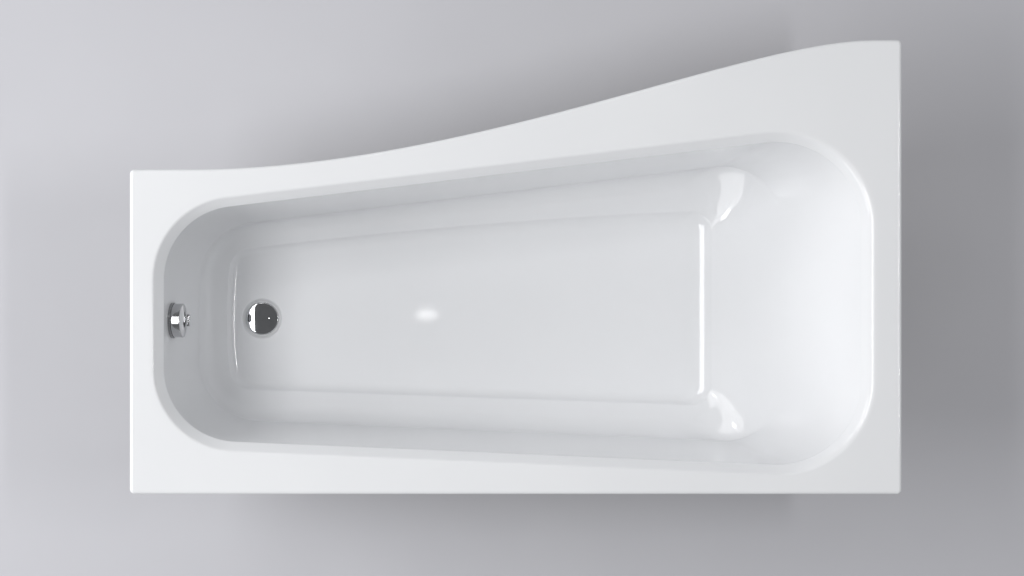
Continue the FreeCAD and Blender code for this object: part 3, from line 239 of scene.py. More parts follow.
def rounded_loop(corners, radii, depths, bows):
    """Loop of points round four corners in plan; each side keeps its depth and the corners ease between."""
    sides = [PlanSide(corners[i], corners[(i + 1) % 4], bow) for i, bow in enumerate(bows)]
    arcs = []
    for i, centre in enumerate(corners):
        for _ in range(settling_steps):
            (depth_a, way_a), (depth_b, way_b) = sides[i - 1].inside(centre), sides[i].inside(centre)
            short_a, short_b = radii[i] - depth_a, radii[i] - depth_b
            turn = (way_a.conjugate() * way_b).real
            shift = way_a * (short_a - short_b * turn) + way_b * (short_b - short_a * turn)
            centre += shift / (1 - turn ** 2)
        sweep = cmath.phase(way_b / way_a)
        angles = [sweep * k / corner_steps for k in range(corner_steps + 1)]
        arcs.append([centre - way_a * cmath.rect(radii[i], angle) for angle in angles])
    loop = []
    for i, arc in enumerate(arcs):
        for k, place in enumerate(arc):
            depth = mixed(depths[i - 1], depths[i], eased(k / corner_steps))
            loop.append(Vector((place.real, place.imag, rim_top - depth)))
        for k in range(1, side_steps[i]):
            place = sides[i].between(arc[-1], arcs[(i + 1) % 4][0], k / side_steps[i])
            loop.append(Vector((place.real, place.imag, rim_top - depths[i])))
    return loop


def well_loops(grow):
    """Loops of the well from the rim down to the floor."""
    profiles = {side: well_profile(side, grow) for side in floor_runs}
    loops = []
    for station in range(len(profiles["foot"])):
        inset = {side: points[station].x for side, points in profiles.items()}
        near, far = opening_foot_x + inset["foot"], opening_head_x - inset["head"]
        corners = [
            complex(near, across_wall(near) + inset["wall_foot"]),
            complex(far, across_wall(far) + inset["wall_head"]),
            complex(far, across_front(far) - inset["front_head"]),
            complex(near, across_front(near) - inset["front_foot"]),
        ]
        at_foot, bow = plan_at(station, profiles["front_foot"], "foot", grow)
        at_head, bow = plan_at(station, profiles["front_head"], "head", grow)
        depths = [profiles[side][station].y for side in ("wall_foot", "head", "front_foot", "foot")]
        bows = (0.0, 0.0, floor_front_bow * bow, floor_foot_bow * bow)
        loops.append(rounded_loop(corners, (at_foot, at_head, at_head, at_foot), depths, bows))
    return loops


def front_edge(x):
    """Curved front of the rim: flat at both ends, with one long sweep between."""
    start, end = head_x - front_head_flat, foot_x + front_foot_flat
    high, low = front_y, wall_y + foot_width
    if x >= start:
        return high
    if x <= end:
        return low
    poles = (start, start - front_head_sweep, end + front_foot_sweep, end)
    least, most = 0.0, 1.0
    for _ in range(halving_steps):
        share = (least + most) / 2
        rest = 1 - share
        place = (rest ** 3 * poles[0] + 3 * rest ** 2 * share * poles[1]
                 + 3 * rest * share ** 2 * poles[2] + share ** 3 * poles[3])
        if place > x:
            least = share
        else:
            most = share
    return mixed(high, low, eased(share))


def rim_outline():
    """Outline of the rim: four small corners, three straight sides and the curved front."""
    corners = (
        (foot_x, wall_y, 1, 1), (head_x, wall_y, -1, 1),
        (head_x, front_y, -1, -1), (foot_x, wall_y + foot_width, 1, -1),
    )
    quarters = []
    for i, (x, y, towards_x, towards_y) in enumerate(corners):
        centre = Vector((x + towards_x * rim_corner, y + towards_y * rim_corner, rim_top))
        turns = [math.pi / 2 * (2 + i + k / corner_steps) for k in range(corner_steps + 1)]
        quarters.append([centre + rim_corner * Vector((math.cos(a), math.sin(a), 0)) for a in turns])
    outline = []
    for i, corner in enumerate(quarters):
        run = [corner[-1].lerp(quarters[(i + 1) % 4][0], k / side_steps[i]) for k in range(1, side_steps[i])]
        if side_names[i] == "front":
            for point in run:
                point.y = front_edge(point.x)
        outline += corner + run
    return outline


def rim_loops(edge):
    """Loops that follow the rim's outline, for points given as inset and depth."""
    outline = rim_outline()
    outward = []
    for i in range(len(outline)):
        along = outline[(i + 1) % len(outline)] - outline[i - 1]
        outward.append(Vector((along.y, -along.x, 0)).normalized())
    return [
        [point - away * inset - Vector((0, 0, depth)) for point, away in zip(outline, outward)]
        for inset, depth in edge
    ]


def drain_loops(profile):
    """Loops round the drain for points given as radius and height."""
    turns = [2 * math.pi * k / round_steps for k in range(round_steps)]
    return [
        [Vector((drain_x + r * math.cos(a), drain_y + r * math.sin(a), z)) for a in turns]
        for r, z in profile
    ]


def bridge(bm, rings, material=0):
    """Quads between neighbouring rings."""
    for ring, after in zip(rings, rings[1:]):
        for i in range(len(ring)):
            j = (i + 1) % len(ring)
            bm.faces.new((ring[i], ring[j], after[j], after[i])).material_index = material


def joined_loops(bm, loops, material=0):
    """Vertices and quads of a run of loops with equal counts."""
    rings = [[bm.verts.new(point) for point in loop] for loop in loops]
    bridge(bm, rings, material)
    return rings


def fill_between(bm, *rings, material=0):
    """Flat face with a hole, given by its two rings."""
    edges = [bm.edges.get((vert, ring[i - 1])) for ring in rings for i, vert in enumerate(ring)]
    made = bmesh.ops.triangle_fill(bm, use_beauty=True, edges=edges)
    for item in made["geom"]:
        if isinstance(item, bmesh.types.BMFace):
            item.material_index = material


def piece_from(bm, name, finishes, body, slot, *nodes):
    """Makes a shaded piece from a mesh and puts it on its body in place of its plain nodes."""
    bmesh.ops.recalc_face_normals(bm, faces=bm.faces)
    mesh = bpy.data.meshes.new(name)
    bm.to_mesh(mesh)
    bm.free()
    for finish in finishes:
        mesh.materials.append(finish)
    mesh.shade_smooth()
    mesh.set_sharp_from_angle(angle=crease)
    piece = bpy.data.objects.new(name, mesh)
    bpy.context.scene.collection.objects.link(piece)
    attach(piece, body)
    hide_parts(*nodes)
    return piece


def new_finish(name, colour, roughness, **sockets):
    """Material with one surface shader, and its nodes and links for the detail."""
    finish = bpy.data.materials.new(name)
    finish.use_nodes = True
    nodes, links = finish.node_tree.nodes, finish.node_tree.links
    shader = nodes["Principled BSDF"]
    shader.inputs["Base Color"].default_value = (*colour, 1)
    shader.inputs["Roughness"].default_value = roughness
    for socket, value in sockets.items():
        shader.inputs[socket.replace("_", " ")].default_value = value
    return finish, nodes, links, shader


def grain(nodes, links, scale, stretch=(1, 1, 1), detail=3.0, kind="ShaderNodeTexNoise"):
    """Noise or cell texture in the tub's own metres, stretched along the axes."""
    place = nodes.new("ShaderNodeTexCoord")
    mapping = nodes.new("ShaderNodeMapping")
    mapping.inputs["Scale"].default_value = stretch
    links.new(place.outputs["Object"], mapping.inputs["Vector"])
    texture = nodes.new(kind)
    texture.inputs["Scale"].default_value = scale
    texture.inputs["Detail"].default_value = detail
    links.new(mapping.outputs["Vector"], texture.inputs["Vector"])
    return texture


def ramped(nodes, links, value, *stops):
    """Colours laid over a value, each stop given as its place and its colour."""
    ramp = nodes.new("ShaderNodeValToRGB")
    elements = ramp.color_ramp.elements
    while len(elements) < len(stops):
        elements.new(0.5)
    for element, (place, colour) in zip(elements, stops):
        element.position = place
        element.color = (*colour, 1)
    links.new(value, ramp.inputs["Fac"])
    return ramp.outputs["Color"]


def ranged(nodes, links, value, low, high):
    """Value spread over a range."""
    spread = nodes.new("ShaderNodeMapRange")
    spread.inputs["To Min"].default_value = low
    spread.inputs["To Max"].default_value = high
    links.new(value, spread.inputs["Value"])
    return spread.outputs["Result"]


def bumped(nodes, links, shader, height, distance, strength=1.0):
    """Fine relief under the surface shader, in metres."""
    bump = nodes.new("ShaderNodeBump")
    bump.inputs["Distance"].default_value = distance
    bump.inputs["Strength"].default_value = strength
    links.new(height, bump.inputs["Height"])
    links.new(bump.outputs["Normal"], shader.inputs["Normal"])


def white_acrylic():
    """Glossy sanitary acrylic: faint drift of tone, slight ripple left by the mould."""
    finish, nodes, links, shader = new_finish("white_acrylic", (0.80, 0.81, 0.83), 0.05, IOR=1.49)
    drift = grain(nodes, links, 3.0)
    tone = ramped(nodes, links, drift.outputs["Fac"],
                  (0.35, (0.795, 0.803, 0.820)), (0.65, (0.812, 0.820, 0.836)))
    links.new(tone, shader.inputs["Base Color"])
    haze = grain(nodes, links, 14.0)
    links.new(ranged(nodes, links, haze.outputs["Fac"], 0.03, 0.06), shader.inputs["Roughness"])
    ripple = grain(nodes, links, 9.0, detail=1.0)
    bumped(nodes, links, shader, ripple.outputs["Fac"], 0.0006, 0.10)
    return finish


def glass_fibre():
    """Sprayed resin with chopped strands, matt and uneven."""
    finish, nodes, links, shader = new_finish("glass_fibre", (0.55, 0.55, 0.50), 0.55)
    strands = grain(nodes, links, 160.0, (1, 0.12, 0.6), 4.0)
    cross = grain(nodes, links, 150.0, (0.12, 1, 0.6), 4.0)
    mix = nodes.new("ShaderNodeMath")
    mix.operation = "MAXIMUM"
    links.new(strands.outputs["Fac"], mix.inputs[0])
    links.new(cross.outputs["Fac"], mix.inputs[1])
    tone = ramped(nodes, links, mix.outputs["Value"],
                  (0.40, (0.36, 0.36, 0.31)), (0.58, (0.52, 0.52, 0.46)), (0.75, (0.70, 0.70, 0.66)))
    links.new(tone, shader.inputs["Base Color"])
    links.new(ranged(nodes, links, mix.outputs["Value"], 0.72, 0.38), shader.inputs["Roughness"])
    bumped(nodes, links, shader, mix.outputs["Value"], 0.0015, 0.7)
    return finish


floor_z = rim_top - well_depth
bm = bmesh.new()
inside = well_loops(0.0)
rim_edge = rounded_profile(
    [(rim_edge_run, 0), (0, 0), (0, lip_drop),
     (sheet, lip_drop), (sheet, sheet), (sheet + lip_inner_run, sheet)],
    (rim_edge_round, lip_edge_round, lip_edge_round, lip_inner_round),
    arc_steps=(7, 4, 4, 3), run_steps=(2, 3, 1, 3, 2),
)
rim = rim_loops(rim_edge)
outside = well_loops(sheet)
front_rings = joined_loops(bm, inside[::-1] + rim[:-lip_back_loops])
back_rings = joined_loops(bm, rim[-lip_back_loops:] + outside, 1)
bridge(bm, [front_rings[-1], back_rings[0]])
dish = rounded_profile(
    [(dish_radius + dish_surround, floor_z), (dish_radius, floor_z), (dish_base_radius, floor_z - dish_depth),
     (drain_hole_radius, floor_z - dish_depth), (drain_hole_radius, floor_z - dish_depth - sheet)],
    (dish_edge_round, dish_edge_round, drain_hole_round),
    arc_steps=(5, 5, 3), run_steps=(2, 2, 2, 1),
)
dish_back = [
    (dish_base_radius + sheet, floor_z - dish_depth - sheet),
    (dish_radius + sheet, floor_z - sheet),
    (dish_radius + sheet + dish_surround, floor_z - sheet),
]
dish_rings = joined_loops(bm, drain_loops(dish))
dish_back_rings = joined_loops(bm, drain_loops(dish_back), 1)
bridge(bm, [dish_rings[-1], dish_back_rings[0]], 1)
fill_between(bm, front_rings[0], dish_rings[0])
fill_between(bm, back_rings[-1], dish_back_rings[-1], material=1)
shell = piece_from(bm, "formed_shell", (white_acrylic(), glass_fibre()), "tub", "acrylic", "acrylic_shell")

knob_joint = next(joint for joint in frame["joints"] if joint["name"] == "knob_turn")
overflow_out = Vector(knob_joint["axis"]).normalized()
overflow_down = Vector((0, 1, 0)).cross(overflow_out)
overflow_frame = Matrix((overflow_down, (0, 1, 0), overflow_out)).transposed().to_4x4()
overflow_frame.translation = Vector(knob_joint["pos_m"])


def shaped_by(piece, bm, way="DIFFERENCE"):
    """Cuts a closed mesh, given in the piece's own frame, out of a piece for good, or joins it on."""
    bmesh.ops.recalc_face_normals(bm, faces=bm.faces)
    mesh = bpy.data.meshes.new("tool")
    bm.to_mesh(mesh)
    bm.free()
    for finish in piece.data.materials:
        mesh.materials.append(finish)
    mesh.shade_smooth()
    tool = bpy.data.objects.new("tool", mesh)
    bpy.context.scene.collection.objects.link(tool)
    boolean = piece.modifiers.new("shape", "BOOLEAN")
    boolean.operation = way
    boolean.object = tool
    boolean.solver = "EXACT"
    bpy.context.view_layer.update()
    made = bpy.data.meshes.new_from_object(piece.evaluated_get(bpy.context.evaluated_depsgraph_get()))
    piece.modifiers.clear()
    plain = piece.data
    piece.data = made
    made.name = piece.name
    made.set_sharp_from_angle(angle=crease)
    bpy.data.meshes.remove(plain)
    bpy.data.objects.remove(tool)
    bpy.data.meshes.remove(mesh)


def turned(bm, profile, steps=72, closed=False):
    """Surface turned about the upright axis from points given as radius and height; returns its vertices."""
    rings = []
    for radius, height in profile:
        turns = [2 * math.pi * k / steps for k in range(steps if radius > 1e-6 else 1)]
        rings.append([bm.verts.new((radius * math.cos(a), radius * math.sin(a), height)) for a in turns])
    for ring, after in zip(rings, rings[1:] + rings[:1] if closed else rings[1:]):
        for k in range(steps if len(ring) + len(after) > 2 else 0):
            quad = (ring[k % len(ring)], ring[(k + 1) % steps % len(ring)],
                    after[(k + 1) % steps % len(after)], after[k % len(after)])
            bm.faces.new(list(dict.fromkeys(quad)))
    return [vert for ring in rings for vert in ring]


hole = bmesh.new()
turned(hole, (
    (0, -overflow_hole_reach), (overflow_hole_radius, -overflow_hole_reach),
    (overflow_hole_radius, overflow_hole_reach), (0, overflow_hole_reach),
), round_steps)
hole.transform(overflow_frame)
shaped_by(shell, hole)


# Boards
# Chipboard sawn to shape and bonded with resin under the floor and under the broad parts of the rim. They
# keep the sheet flat under load and take the screws of the rails.

def dress(finish, *names):
    """Gives pieces that keep their drawn form a finish."""
    for name in names:
        for holder in frame["nodes"][name].material_slots:
            holder.material = finish


def chipboard():
    """Pressed wood chips, light and dark, with a slightly open surface."""
    finish, nodes, links, shader = new_finish("chipboard", (0.50, 0.37, 0.22), 0.75)
    chips = grain(nodes, links, 260.0, (1, 0.45, 1), 1.0, "ShaderNodeTexVoronoi")
    tone = ramped(nodes, links, chips.outputs["Color"],
                  (0.15, (0.34, 0.23, 0.12)), (0.5, (0.52, 0.38, 0.22)), (0.85, (0.66, 0.52, 0.34)))
    links.new(tone, shader.inputs["Base Color"])
    links.new(ranged(nodes, links, chips.outputs["Distance"], 0.62, 0.85), shader.inputs["Roughness"])
    bumped(nodes, links, shader, chips.outputs["Distance"], 0.0006, 0.5)
    return finish


dress(chipboard(), "base_board", "rim_board_front", "rim_board_head")


# Cross rails, their screws and nuts
# Two channels pressed from galvanised steel strip, open downwards, each screwed to the board with four
# pan-head screws. A nut is welded under the web at both ends, and a lock nut holds each spindle from below.

screw_head_radius, screw_head_height, screw_bevel, screw_shank_radius = 0.0045, 0.0035, 0.0015, 0.00225
screw_head_flat = 0.0012
screw_places_along = (-0.135, -0.045, 0.045, 0.135)
cross_half, cross_arm, cross_sunk = 0.0025, 0.0007, 0.0019
nut_across_flats, nut_bore_radius, nut_face_radius = 0.017, 0.0053, 0.0083
nut_bevel, nut_least_drop = math.radians(30), 0.00001
rails = ("cross_rail_foot", "cross_rail_head")
legs = ("foot_wall", "foot_front", "head_wall", "head_front")


def galvanised():
    """Zinc spangle on rolled strip."""
    finish, nodes, links, shader = new_finish("galvanised_steel", (0.55, 0.57, 0.58), 0.4, Metallic=1.0)
    spangle = grain(nodes, links, 95.0, (1, 1, 1), 0.0, "ShaderNodeTexVoronoi")
    tone = ramped(nodes, links, spangle.outputs["Color"],
                  (0.1, (0.40, 0.42, 0.44)), (0.5, (0.55, 0.57, 0.58)), (0.9, (0.70, 0.72, 0.73)))
    links.new(tone, shader.inputs["Base Color"])
    links.new(ranged(nodes, links, spangle.outputs["Color"], 0.28, 0.52), shader.inputs["Roughness"])
    return finish


def clouded(name, colour, roughness, scale, dark, light, rough_range=None, stretch=(1, 1, 1), detail=3.0,
            stops=(0.3, 0.7), relief=None, **sockets):
    """Finish whose tone drifts over one fine grain, with its roughness and relief where they are given."""
    finish, nodes, links, shader = new_finish(name, colour, roughness, **sockets)
    cloud = grain(nodes, links, scale, stretch, detail).outputs["Fac"]
    links.new(ramped(nodes, links, cloud, (stops[0], dark), (stops[1], light)), shader.inputs["Base Color"])
    if rough_range:
        links.new(ranged(nodes, links, cloud, *rough_range), shader.inputs["Roughness"])
    if relief:
        bumped(nodes, links, shader, cloud, *relief)
    return finish


def zinc():
    """Bright zinc plating, a little cloudy."""
    return clouded("zinc_steel", (0.62, 0.64, 0.66), roughness=0.3, scale=420.0, dark=(0.52, 0.54, 0.57),
                   light=(0.70, 0.71, 0.72), rough_range=(0.22, 0.42), Metallic=1.0)


def middle_of(node):
    """Middle of a piece's box."""
    low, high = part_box(node)
    return (low + high) / 2


def prism(bm, outline, low, high):
    """Upright bar on a closed outline; returns its vertices."""
    rings = [[bm.verts.new((x, y, z)) for x, y in outline] for z in (low, high)]
    bridge(bm, rings)
    for ring in rings:
        bm.faces.new(ring)
    return rings[0] + rings[1]


def nut_at(bm, place, low, high, steps=72):
    """Hexagon nut with both faces bevelled."""
    rings = [[] for _ in range(6)]
    for k in range(steps):
        angle = 2 * math.pi * k / steps
        flat = nut_across_flats / 2 / math.cos(angle % (math.pi / 3) - math.pi / 6)
        face = min(flat, nut_face_radius)
        drop = (flat - face) * math.tan(nut_bevel) + nut_least_drop
        section = (
            (nut_bore_radius, low), (face, low), (flat, low + drop),
            (flat, high - drop), (face, high), (nut_bore_radius, high),
        )
        for ring, (radius, height) in zip(rings, section):
            x, y = place.x + radius * math.cos(angle), place.y + radius * math.sin(angle)
            ring.append(bm.verts.new((x, y, height)))
    bridge(bm, rings + rings[:1])


dress(galvanised(), *rails)
plated = zinc()
screws_low, screws_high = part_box("rail_screws")
under_web = screws_low.z + screw_head_height
screw_profile = [(0, -screw_head_height)] + rounded_profile(
    [(screw_head_flat, -screw_head_height), (screw_head_radius, -screw_head_height), (screw_head_radius, 0)],
    (screw_bevel,), arc_steps=(6,), run_steps=(2, 2),
) + [
    (screw_shank_radius, 0), (screw_shank_radius, screws_high.z - under_web - screw_shank_radius),
    (0, screws_high.z - under_web),
]
arm = (complex(cross_half, -cross_arm), complex(cross_half, cross_arm), complex(cross_arm, cross_arm))
turned_arms = [corner * 1j ** quarter for quarter in range(4) for corner in arm]
cross = [(corner.real, corner.imag) for corner in turned_arms]
bm, recesses = bmesh.new(), bmesh.new()
for rail in rails:
    middle = middle_of(rail)
    for along in screw_places_along:
        place = Matrix.Translation((middle.x, middle.y + along, under_web))
        bmesh.ops.transform(bm, matrix=place, verts=turned(bm, screw_profile, steps=32))
        recess = prism(recesses, cross, -2 * screw_head_height, cross_sunk - screw_head_height)
        bmesh.ops.transform(recesses, matrix=place, verts=recess)
screws = piece_from(bm, "pan_head_screws", (plated,), "tub", "zinc_steel", "rail_screws")
shaped_by(screws, recesses)

for name, node in (("welded_hexagon_nuts", "weld_nuts"), ("hexagon_lock_nuts", "lock_nuts")):
    low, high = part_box(node)
    bm = bmesh.new()
    for leg in legs:
        nut_at(bm, middle_of("leg_spindle_" + leg), low.z, high.z)
    piece_from(bm, name, (plated,), "tub", "zinc_steel", node)


# Legs
# Each leg is a zinc-plated spindle with a rolled M10 thread, screwed through the welded nut to level the tub.
# Its lower end is pressed into a moulded pad with a flared, ribbed foot.

thread_core_radius, thread_crest_radius, thread_pitch, spindle_bevel = 0.0043, 0.0050, 0.0015, 0.00125
thread_root_half, thread_crest_half = 0.45 * thread_pitch, 0.06 * thread_pitch
thread_sunk, thread_start, thread_end = 0.0002, 0.0020, 0.0015
pad_radius, pad_bevel, pad_rim, pad_shoulder = 0.025, 0.001, 0.005, 0.012
pad_height, pad_neck_radius, pad_socket_radius, pad_floor = 0.015, 0.010, 0.0051, 0.004
pad_fillet_out, pad_fillet_down, pad_neck_bevel = 0.0010, 0.0005, 0.0008
pad_ribs, rib_half, rib_base = 8, 0.0009, 0.004
rib_inner_radius, rib_shoulder_radius = pad_neck_radius - 0.001, pad_neck_radius + 0.001
rib_outer_radius, rib_outer_top, rib_inner_top = pad_radius - 0.002, pad_rim + 0.0012, pad_shoulder + 0.0014


def black_plastic():
    """Moulded black plastic with a fine grain."""
    return clouded("black_plastic", (0.022, 0.022, 0.024), roughness=0.5, scale=900.0,
                   dark=(0.016, 0.016, 0.018), light=(0.034, 0.034, 0.036), rough_range=(0.42, 0.60),
                   detail=4.0, relief=(0.0002, 0.5))


def thread(bm, low, high, steps=18):
    """Ridge that winds up a spindle and runs out at both ends."""
    count = int((high - low) / thread_pitch * steps)
    root = thread_core_radius - thread_sunk
    rows = []
    for i in range(count + 1):
        angle = 2 * math.pi * i / steps
        height = low + thread_pitch * i / steps
        crest = mixed(thread_core_radius, thread_crest_radius, min(1, i / steps, (count - i) / steps))
        row = (
            (root, height - thread_root_half), (crest, height - thread_crest_half),
            (crest, height + thread_crest_half), (root, height + thread_root_half),
        )
        rows.append([bm.verts.new((r * math.cos(angle), r * math.sin(angle), z)) for r, z in row])
    bridge(bm, rows)
    bm.faces.new(rows[0])
    bm.faces.new(rows[-1])


pad_finish = black_plastic()
pad_profile = (
    (0, 0), (pad_radius - pad_bevel, 0), (pad_radius, pad_bevel),
    (pad_radius, pad_rim - pad_bevel), (pad_radius - pad_bevel, pad_rim),
    (pad_neck_radius + pad_fillet_out, pad_shoulder - pad_fillet_down), (pad_neck_radius, pad_shoulder),
    (pad_neck_radius, pad_height - pad_neck_bevel), (pad_neck_radius - pad_neck_bevel, pad_height),
    (pad_socket_radius, pad_height), (pad_socket_radius, pad_floor), (0, pad_floor),
)
rib_side = (
    (rib_inner_radius, rib_base), (rib_outer_radius, rib_base), (rib_outer_radius, rib_outer_top),
    (rib_shoulder_radius, rib_inner_top), (rib_inner_radius, rib_inner_top),
)
for leg in legs:
    spindle_low, spindle_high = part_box("leg_spindle_" + leg)
    place = middle_of("leg_spindle_" + leg)
    at_leg = Matrix.Translation((place.x, place.y, 0))
    bm = bmesh.new()
    turned(bm, ((0, spindle_low.z), (thread_core_radius, spindle_low.z),
                (thread_core_radius, spindle_high.z - spindle_bevel),
                (thread_core_radius - spindle_bevel, spindle_high.z), (0, spindle_high.z)), steps=36)
    thread(bm, spindle_low.z + thread_start, spindle_high.z - thread_end)
    bm.transform(at_leg)
    piece_from(bm, "threaded_spindle_" + leg, (plated,), "leg_" + leg, "zinc_steel", "leg_spindle_" + leg)

    bm = bmesh.new()
    turned(bm, pad_profile, steps=64)
    bm.transform(at_leg)
    pad = piece_from(bm, "ribbed_pad_" + leg, (pad_finish,), "leg_" + leg, "black_plastic", "leg_pad_" + leg)
    ribs = bmesh.new()
    for k in range(pad_ribs):
        rings = [[ribs.verts.new((r, across, z)) for r, z in rib_side] for across in (-rib_half, rib_half)]
        bridge(ribs, rings)
        for ring in rings:
            ribs.faces.new(ring)
        turn = at_leg @ Matrix.Rotation(2 * math.pi * k / pad_ribs, 4, "Z")
        bmesh.ops.transform(ribs, matrix=turn, verts=rings[0] + rings[1])
    shaped_by(pad, ribs, "UNION")


# Drain
# A flange of pressed stainless steel sits in the dish on a rubber seal, drawn down by one hollow screw. The
# plug is a chromed dome on a brass stem, with a rubber seal below it.

plug_radius, plug_edge, plug_edge_round, plug_dome = 0.038, 0.0025, 0.0012, 0.0030
plug_base_flat, plug_base_round, plug_dome_edge, plug_dome_steps = 0.020, 0.0006, 0.034, 24


def stainless():
    """Stainless steel with fine turning marks."""
    return clouded("stainless", (0.58, 0.58, 0.57), roughness=0.25, scale=300.0, dark=(0.52, 0.52, 0.52),
                   light=(0.64, 0.64, 0.63), rough_range=(0.18, 0.34), stretch=(1, 1, 6), Metallic=1.0)


def chrome():
    """Polished chrome with a faint film of wear."""
    return clouded("chrome", (0.70, 0.71, 0.73), roughness=0.04, scale=60.0, dark=(0.68, 0.69, 0.71),
                   light=(0.73, 0.74, 0.76), rough_range=(0.02, 0.07), Metallic=1.0)


def brass():
    """Turned brass, slightly dulled."""
    return clouded("brass", (0.62, 0.46, 0.20), roughness=0.3, scale=350.0, dark=(0.52, 0.37, 0.15),
                   light=(0.70, 0.53, 0.25), rough_range=(0.22, 0.42), stretch=(1, 1, 5), Metallic=1.0)


def rubber():
    """Dark moulded rubber with a dusty surface."""
    return clouded("rubber", (0.03, 0.03, 0.03), roughness=0.8, scale=500.0, dark=(0.022, 0.022, 0.022),
                   light=(0.060, 0.059, 0.056), rough_range=(0.70, 0.90), detail=4.0, stops=(0.35, 0.75))


steel_finish, chrome_finish, brass_finish, rubber_finish = stainless(), chrome(), brass(), rubber()
dress(steel_finish, "drain_flange", "drain_screw")
dress(rubber_finish, "drain_seal", "plug_seal")
dress(brass_finish, "plug_stem")

plug_place = middle_of("drain_plug")
plug_place.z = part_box("drain_plug")[0].z
dome_radius = (plug_radius ** 2 + plug_dome ** 2) / (2 * plug_dome)


def dome_height(radius):
    """Height of the dome over its edge at a distance from the middle."""
    return plug_edge + plug_dome - dome_radius + math.sqrt(dome_radius ** 2 - radius ** 2)


dome_radii = [plug_dome_edge * k / plug_dome_steps for k in reversed(range(plug_dome_steps))]
plug_profile = [(0, 0)] + rounded_profile(
    [(plug_base_flat, 0), (plug_radius, 0), (plug_radius, plug_edge),
     (plug_dome_edge, dome_height(plug_dome_edge))],
    (plug_base_round, plug_edge_round), arc_steps=(3, 5), run_steps=(2, 2, 1),
) + [(radius, dome_height(radius)) for radius in dome_radii]
bm = bmesh.new()
turned(bm, plug_profile, round_steps)
bm.transform(Matrix.Translation(plug_place))
piece_from(bm, "domed_plug", (chrome_finish,), "plug", "chrome", "drain_plug")


# Waste body and lift rocker
# Moulded body clamped under the tub with a rubber gasket. Inside it a brass rocker on a steel pin pushes the
# plug's stem up when the cable pulls.

dress(rubber_finish, "waste_gasket")
dress(pad_finish, "waste_body")
dress(steel_finish, "rocker_pin")
dress(brass_finish, "lift_rocker")


# Trap and outlet
# White plastic pipe with a formed bend that holds the water seal. Two fluted union nuts in black plastic draw
# it up to the waste body and on to the outlet pipe.

def white_pipe():
    """Extruded white plastic pipe, half matt."""
    return clouded("white_pipe", (0.74, 0.74, 0.72), roughness=0.4, scale=30.0, dark=(0.71, 0.71, 0.69),
                   light=(0.77, 0.77, 0.755), rough_range=(0.33, 0.48))


pipe_finish = white_pipe()
dress(pipe_finish, "trap_bend", "outlet_pipe")
dress(pad_finish, "trap_inlet_nut", "trap_outlet_nut")


# Overflow
# A chromed rosette is screwed through the foot wall to a moulded body with a gasket between. The cast knob in
# front turns a brass spindle, and a cam on it pulls the cable; a pipe with two nuts leads down to the waste.

knob_radius, knob_skirt, knob_skirt_wall, knob_face = 0.038, 0.014, 0.003, 0.006
knob_back, knob_crown, knob_edge_round, knob_back_round = 0.0063, 0.0045, 0.003, 0.0008
knob_crown_edge, knob_crown_steps = 0.032, 20
knob_window_half, knob_window_reach, cut_past = 0.027, 0.060, 0.010
grip_half, grip_depth, grip_height, grip_overhang = 0.014, 0.011, 0.005, 0.006
mark_half_width, mark_half_length, mark_depth, mark_up, mark_aside = 0.005, 0.006, 0.0003, 0.011, 0.0095
mark_slack, mark_least_depth, mark_least_height = 0.00001, 0.0001, 0.001
knob_inside = knob_back + knob_skirt
knob_face_z = knob_inside + knob_face
crown_radius = (knob_radius ** 2 + knob_crown ** 2) / (2 * knob_crown)


def crown_height(radius):
    """Height of the knob's face at a distance from its middle."""
    return knob_face_z + knob_crown - crown_radius + math.sqrt(crown_radius ** 2 - radius ** 2)


def chrome_painted_dark_reflection(name, grey):
    """Chrome over a finely brushed casting, very slightly blue, its tone lowered to the given grey as a
    painted dark reflection.
    """
    cool, darker, lighter = 1.02, 0.97, 1.03
    middle, dark, light = ((tone, tone, tone * cool) for tone in (grey, grey * darker, grey * lighter))
    return clouded(name, middle, roughness=0.10, scale=400.0, dark=dark, light=light,
                   rough_range=(0.08, 0.14), Metallic=1.0)


def sunk_mark_painted_shade():
    """Near-black colour laid in the sunk mark as painted shade."""
    return clouded("sunk_mark_painted_shade", (0.03, 0.03, 0.035), roughness=0.7, scale=800.0, dark=(0.025, 0.025, 0.03),
                   light=(0.045, 0.045, 0.05), Specular_IOR_Level=0.05)


def rounded_block(low, high, radius):
    """Closed block, with rounded edges where a radius is given."""
    bm = bmesh.new()
    bmesh.ops.create_cube(bm, size=1.0)
    for vert in bm.verts:
        vert.co = Vector([low[i] if vert.co[i] < 0 else high[i] for i in range(3)])
    if radius:
        bmesh.ops.bevel(bm, geom=list(bm.edges), offset=radius, segments=4, profile=0.5, affect="EDGES")
    return bm


crown_radii = [knob_crown_edge * k / knob_crown_steps for k in reversed(range(knob_crown_steps))]
knob_profile = rounded_profile(
    [(knob_radius - knob_skirt_wall, knob_back), (knob_radius, knob_back), (knob_radius, knob_face_z),
     (knob_crown_edge, crown_height(knob_crown_edge))],
    (knob_back_round, knob_edge_round), arc_steps=(3, 6), run_steps=(1, 4, 2),
) + [(radius, crown_height(radius)) for radius in crown_radii]
knob_profile += [(0, knob_inside), (knob_radius - knob_skirt_wall, knob_inside)]
bm = bmesh.new()
turned(bm, knob_profile, round_steps, closed=True)
bm.transform(overflow_frame)
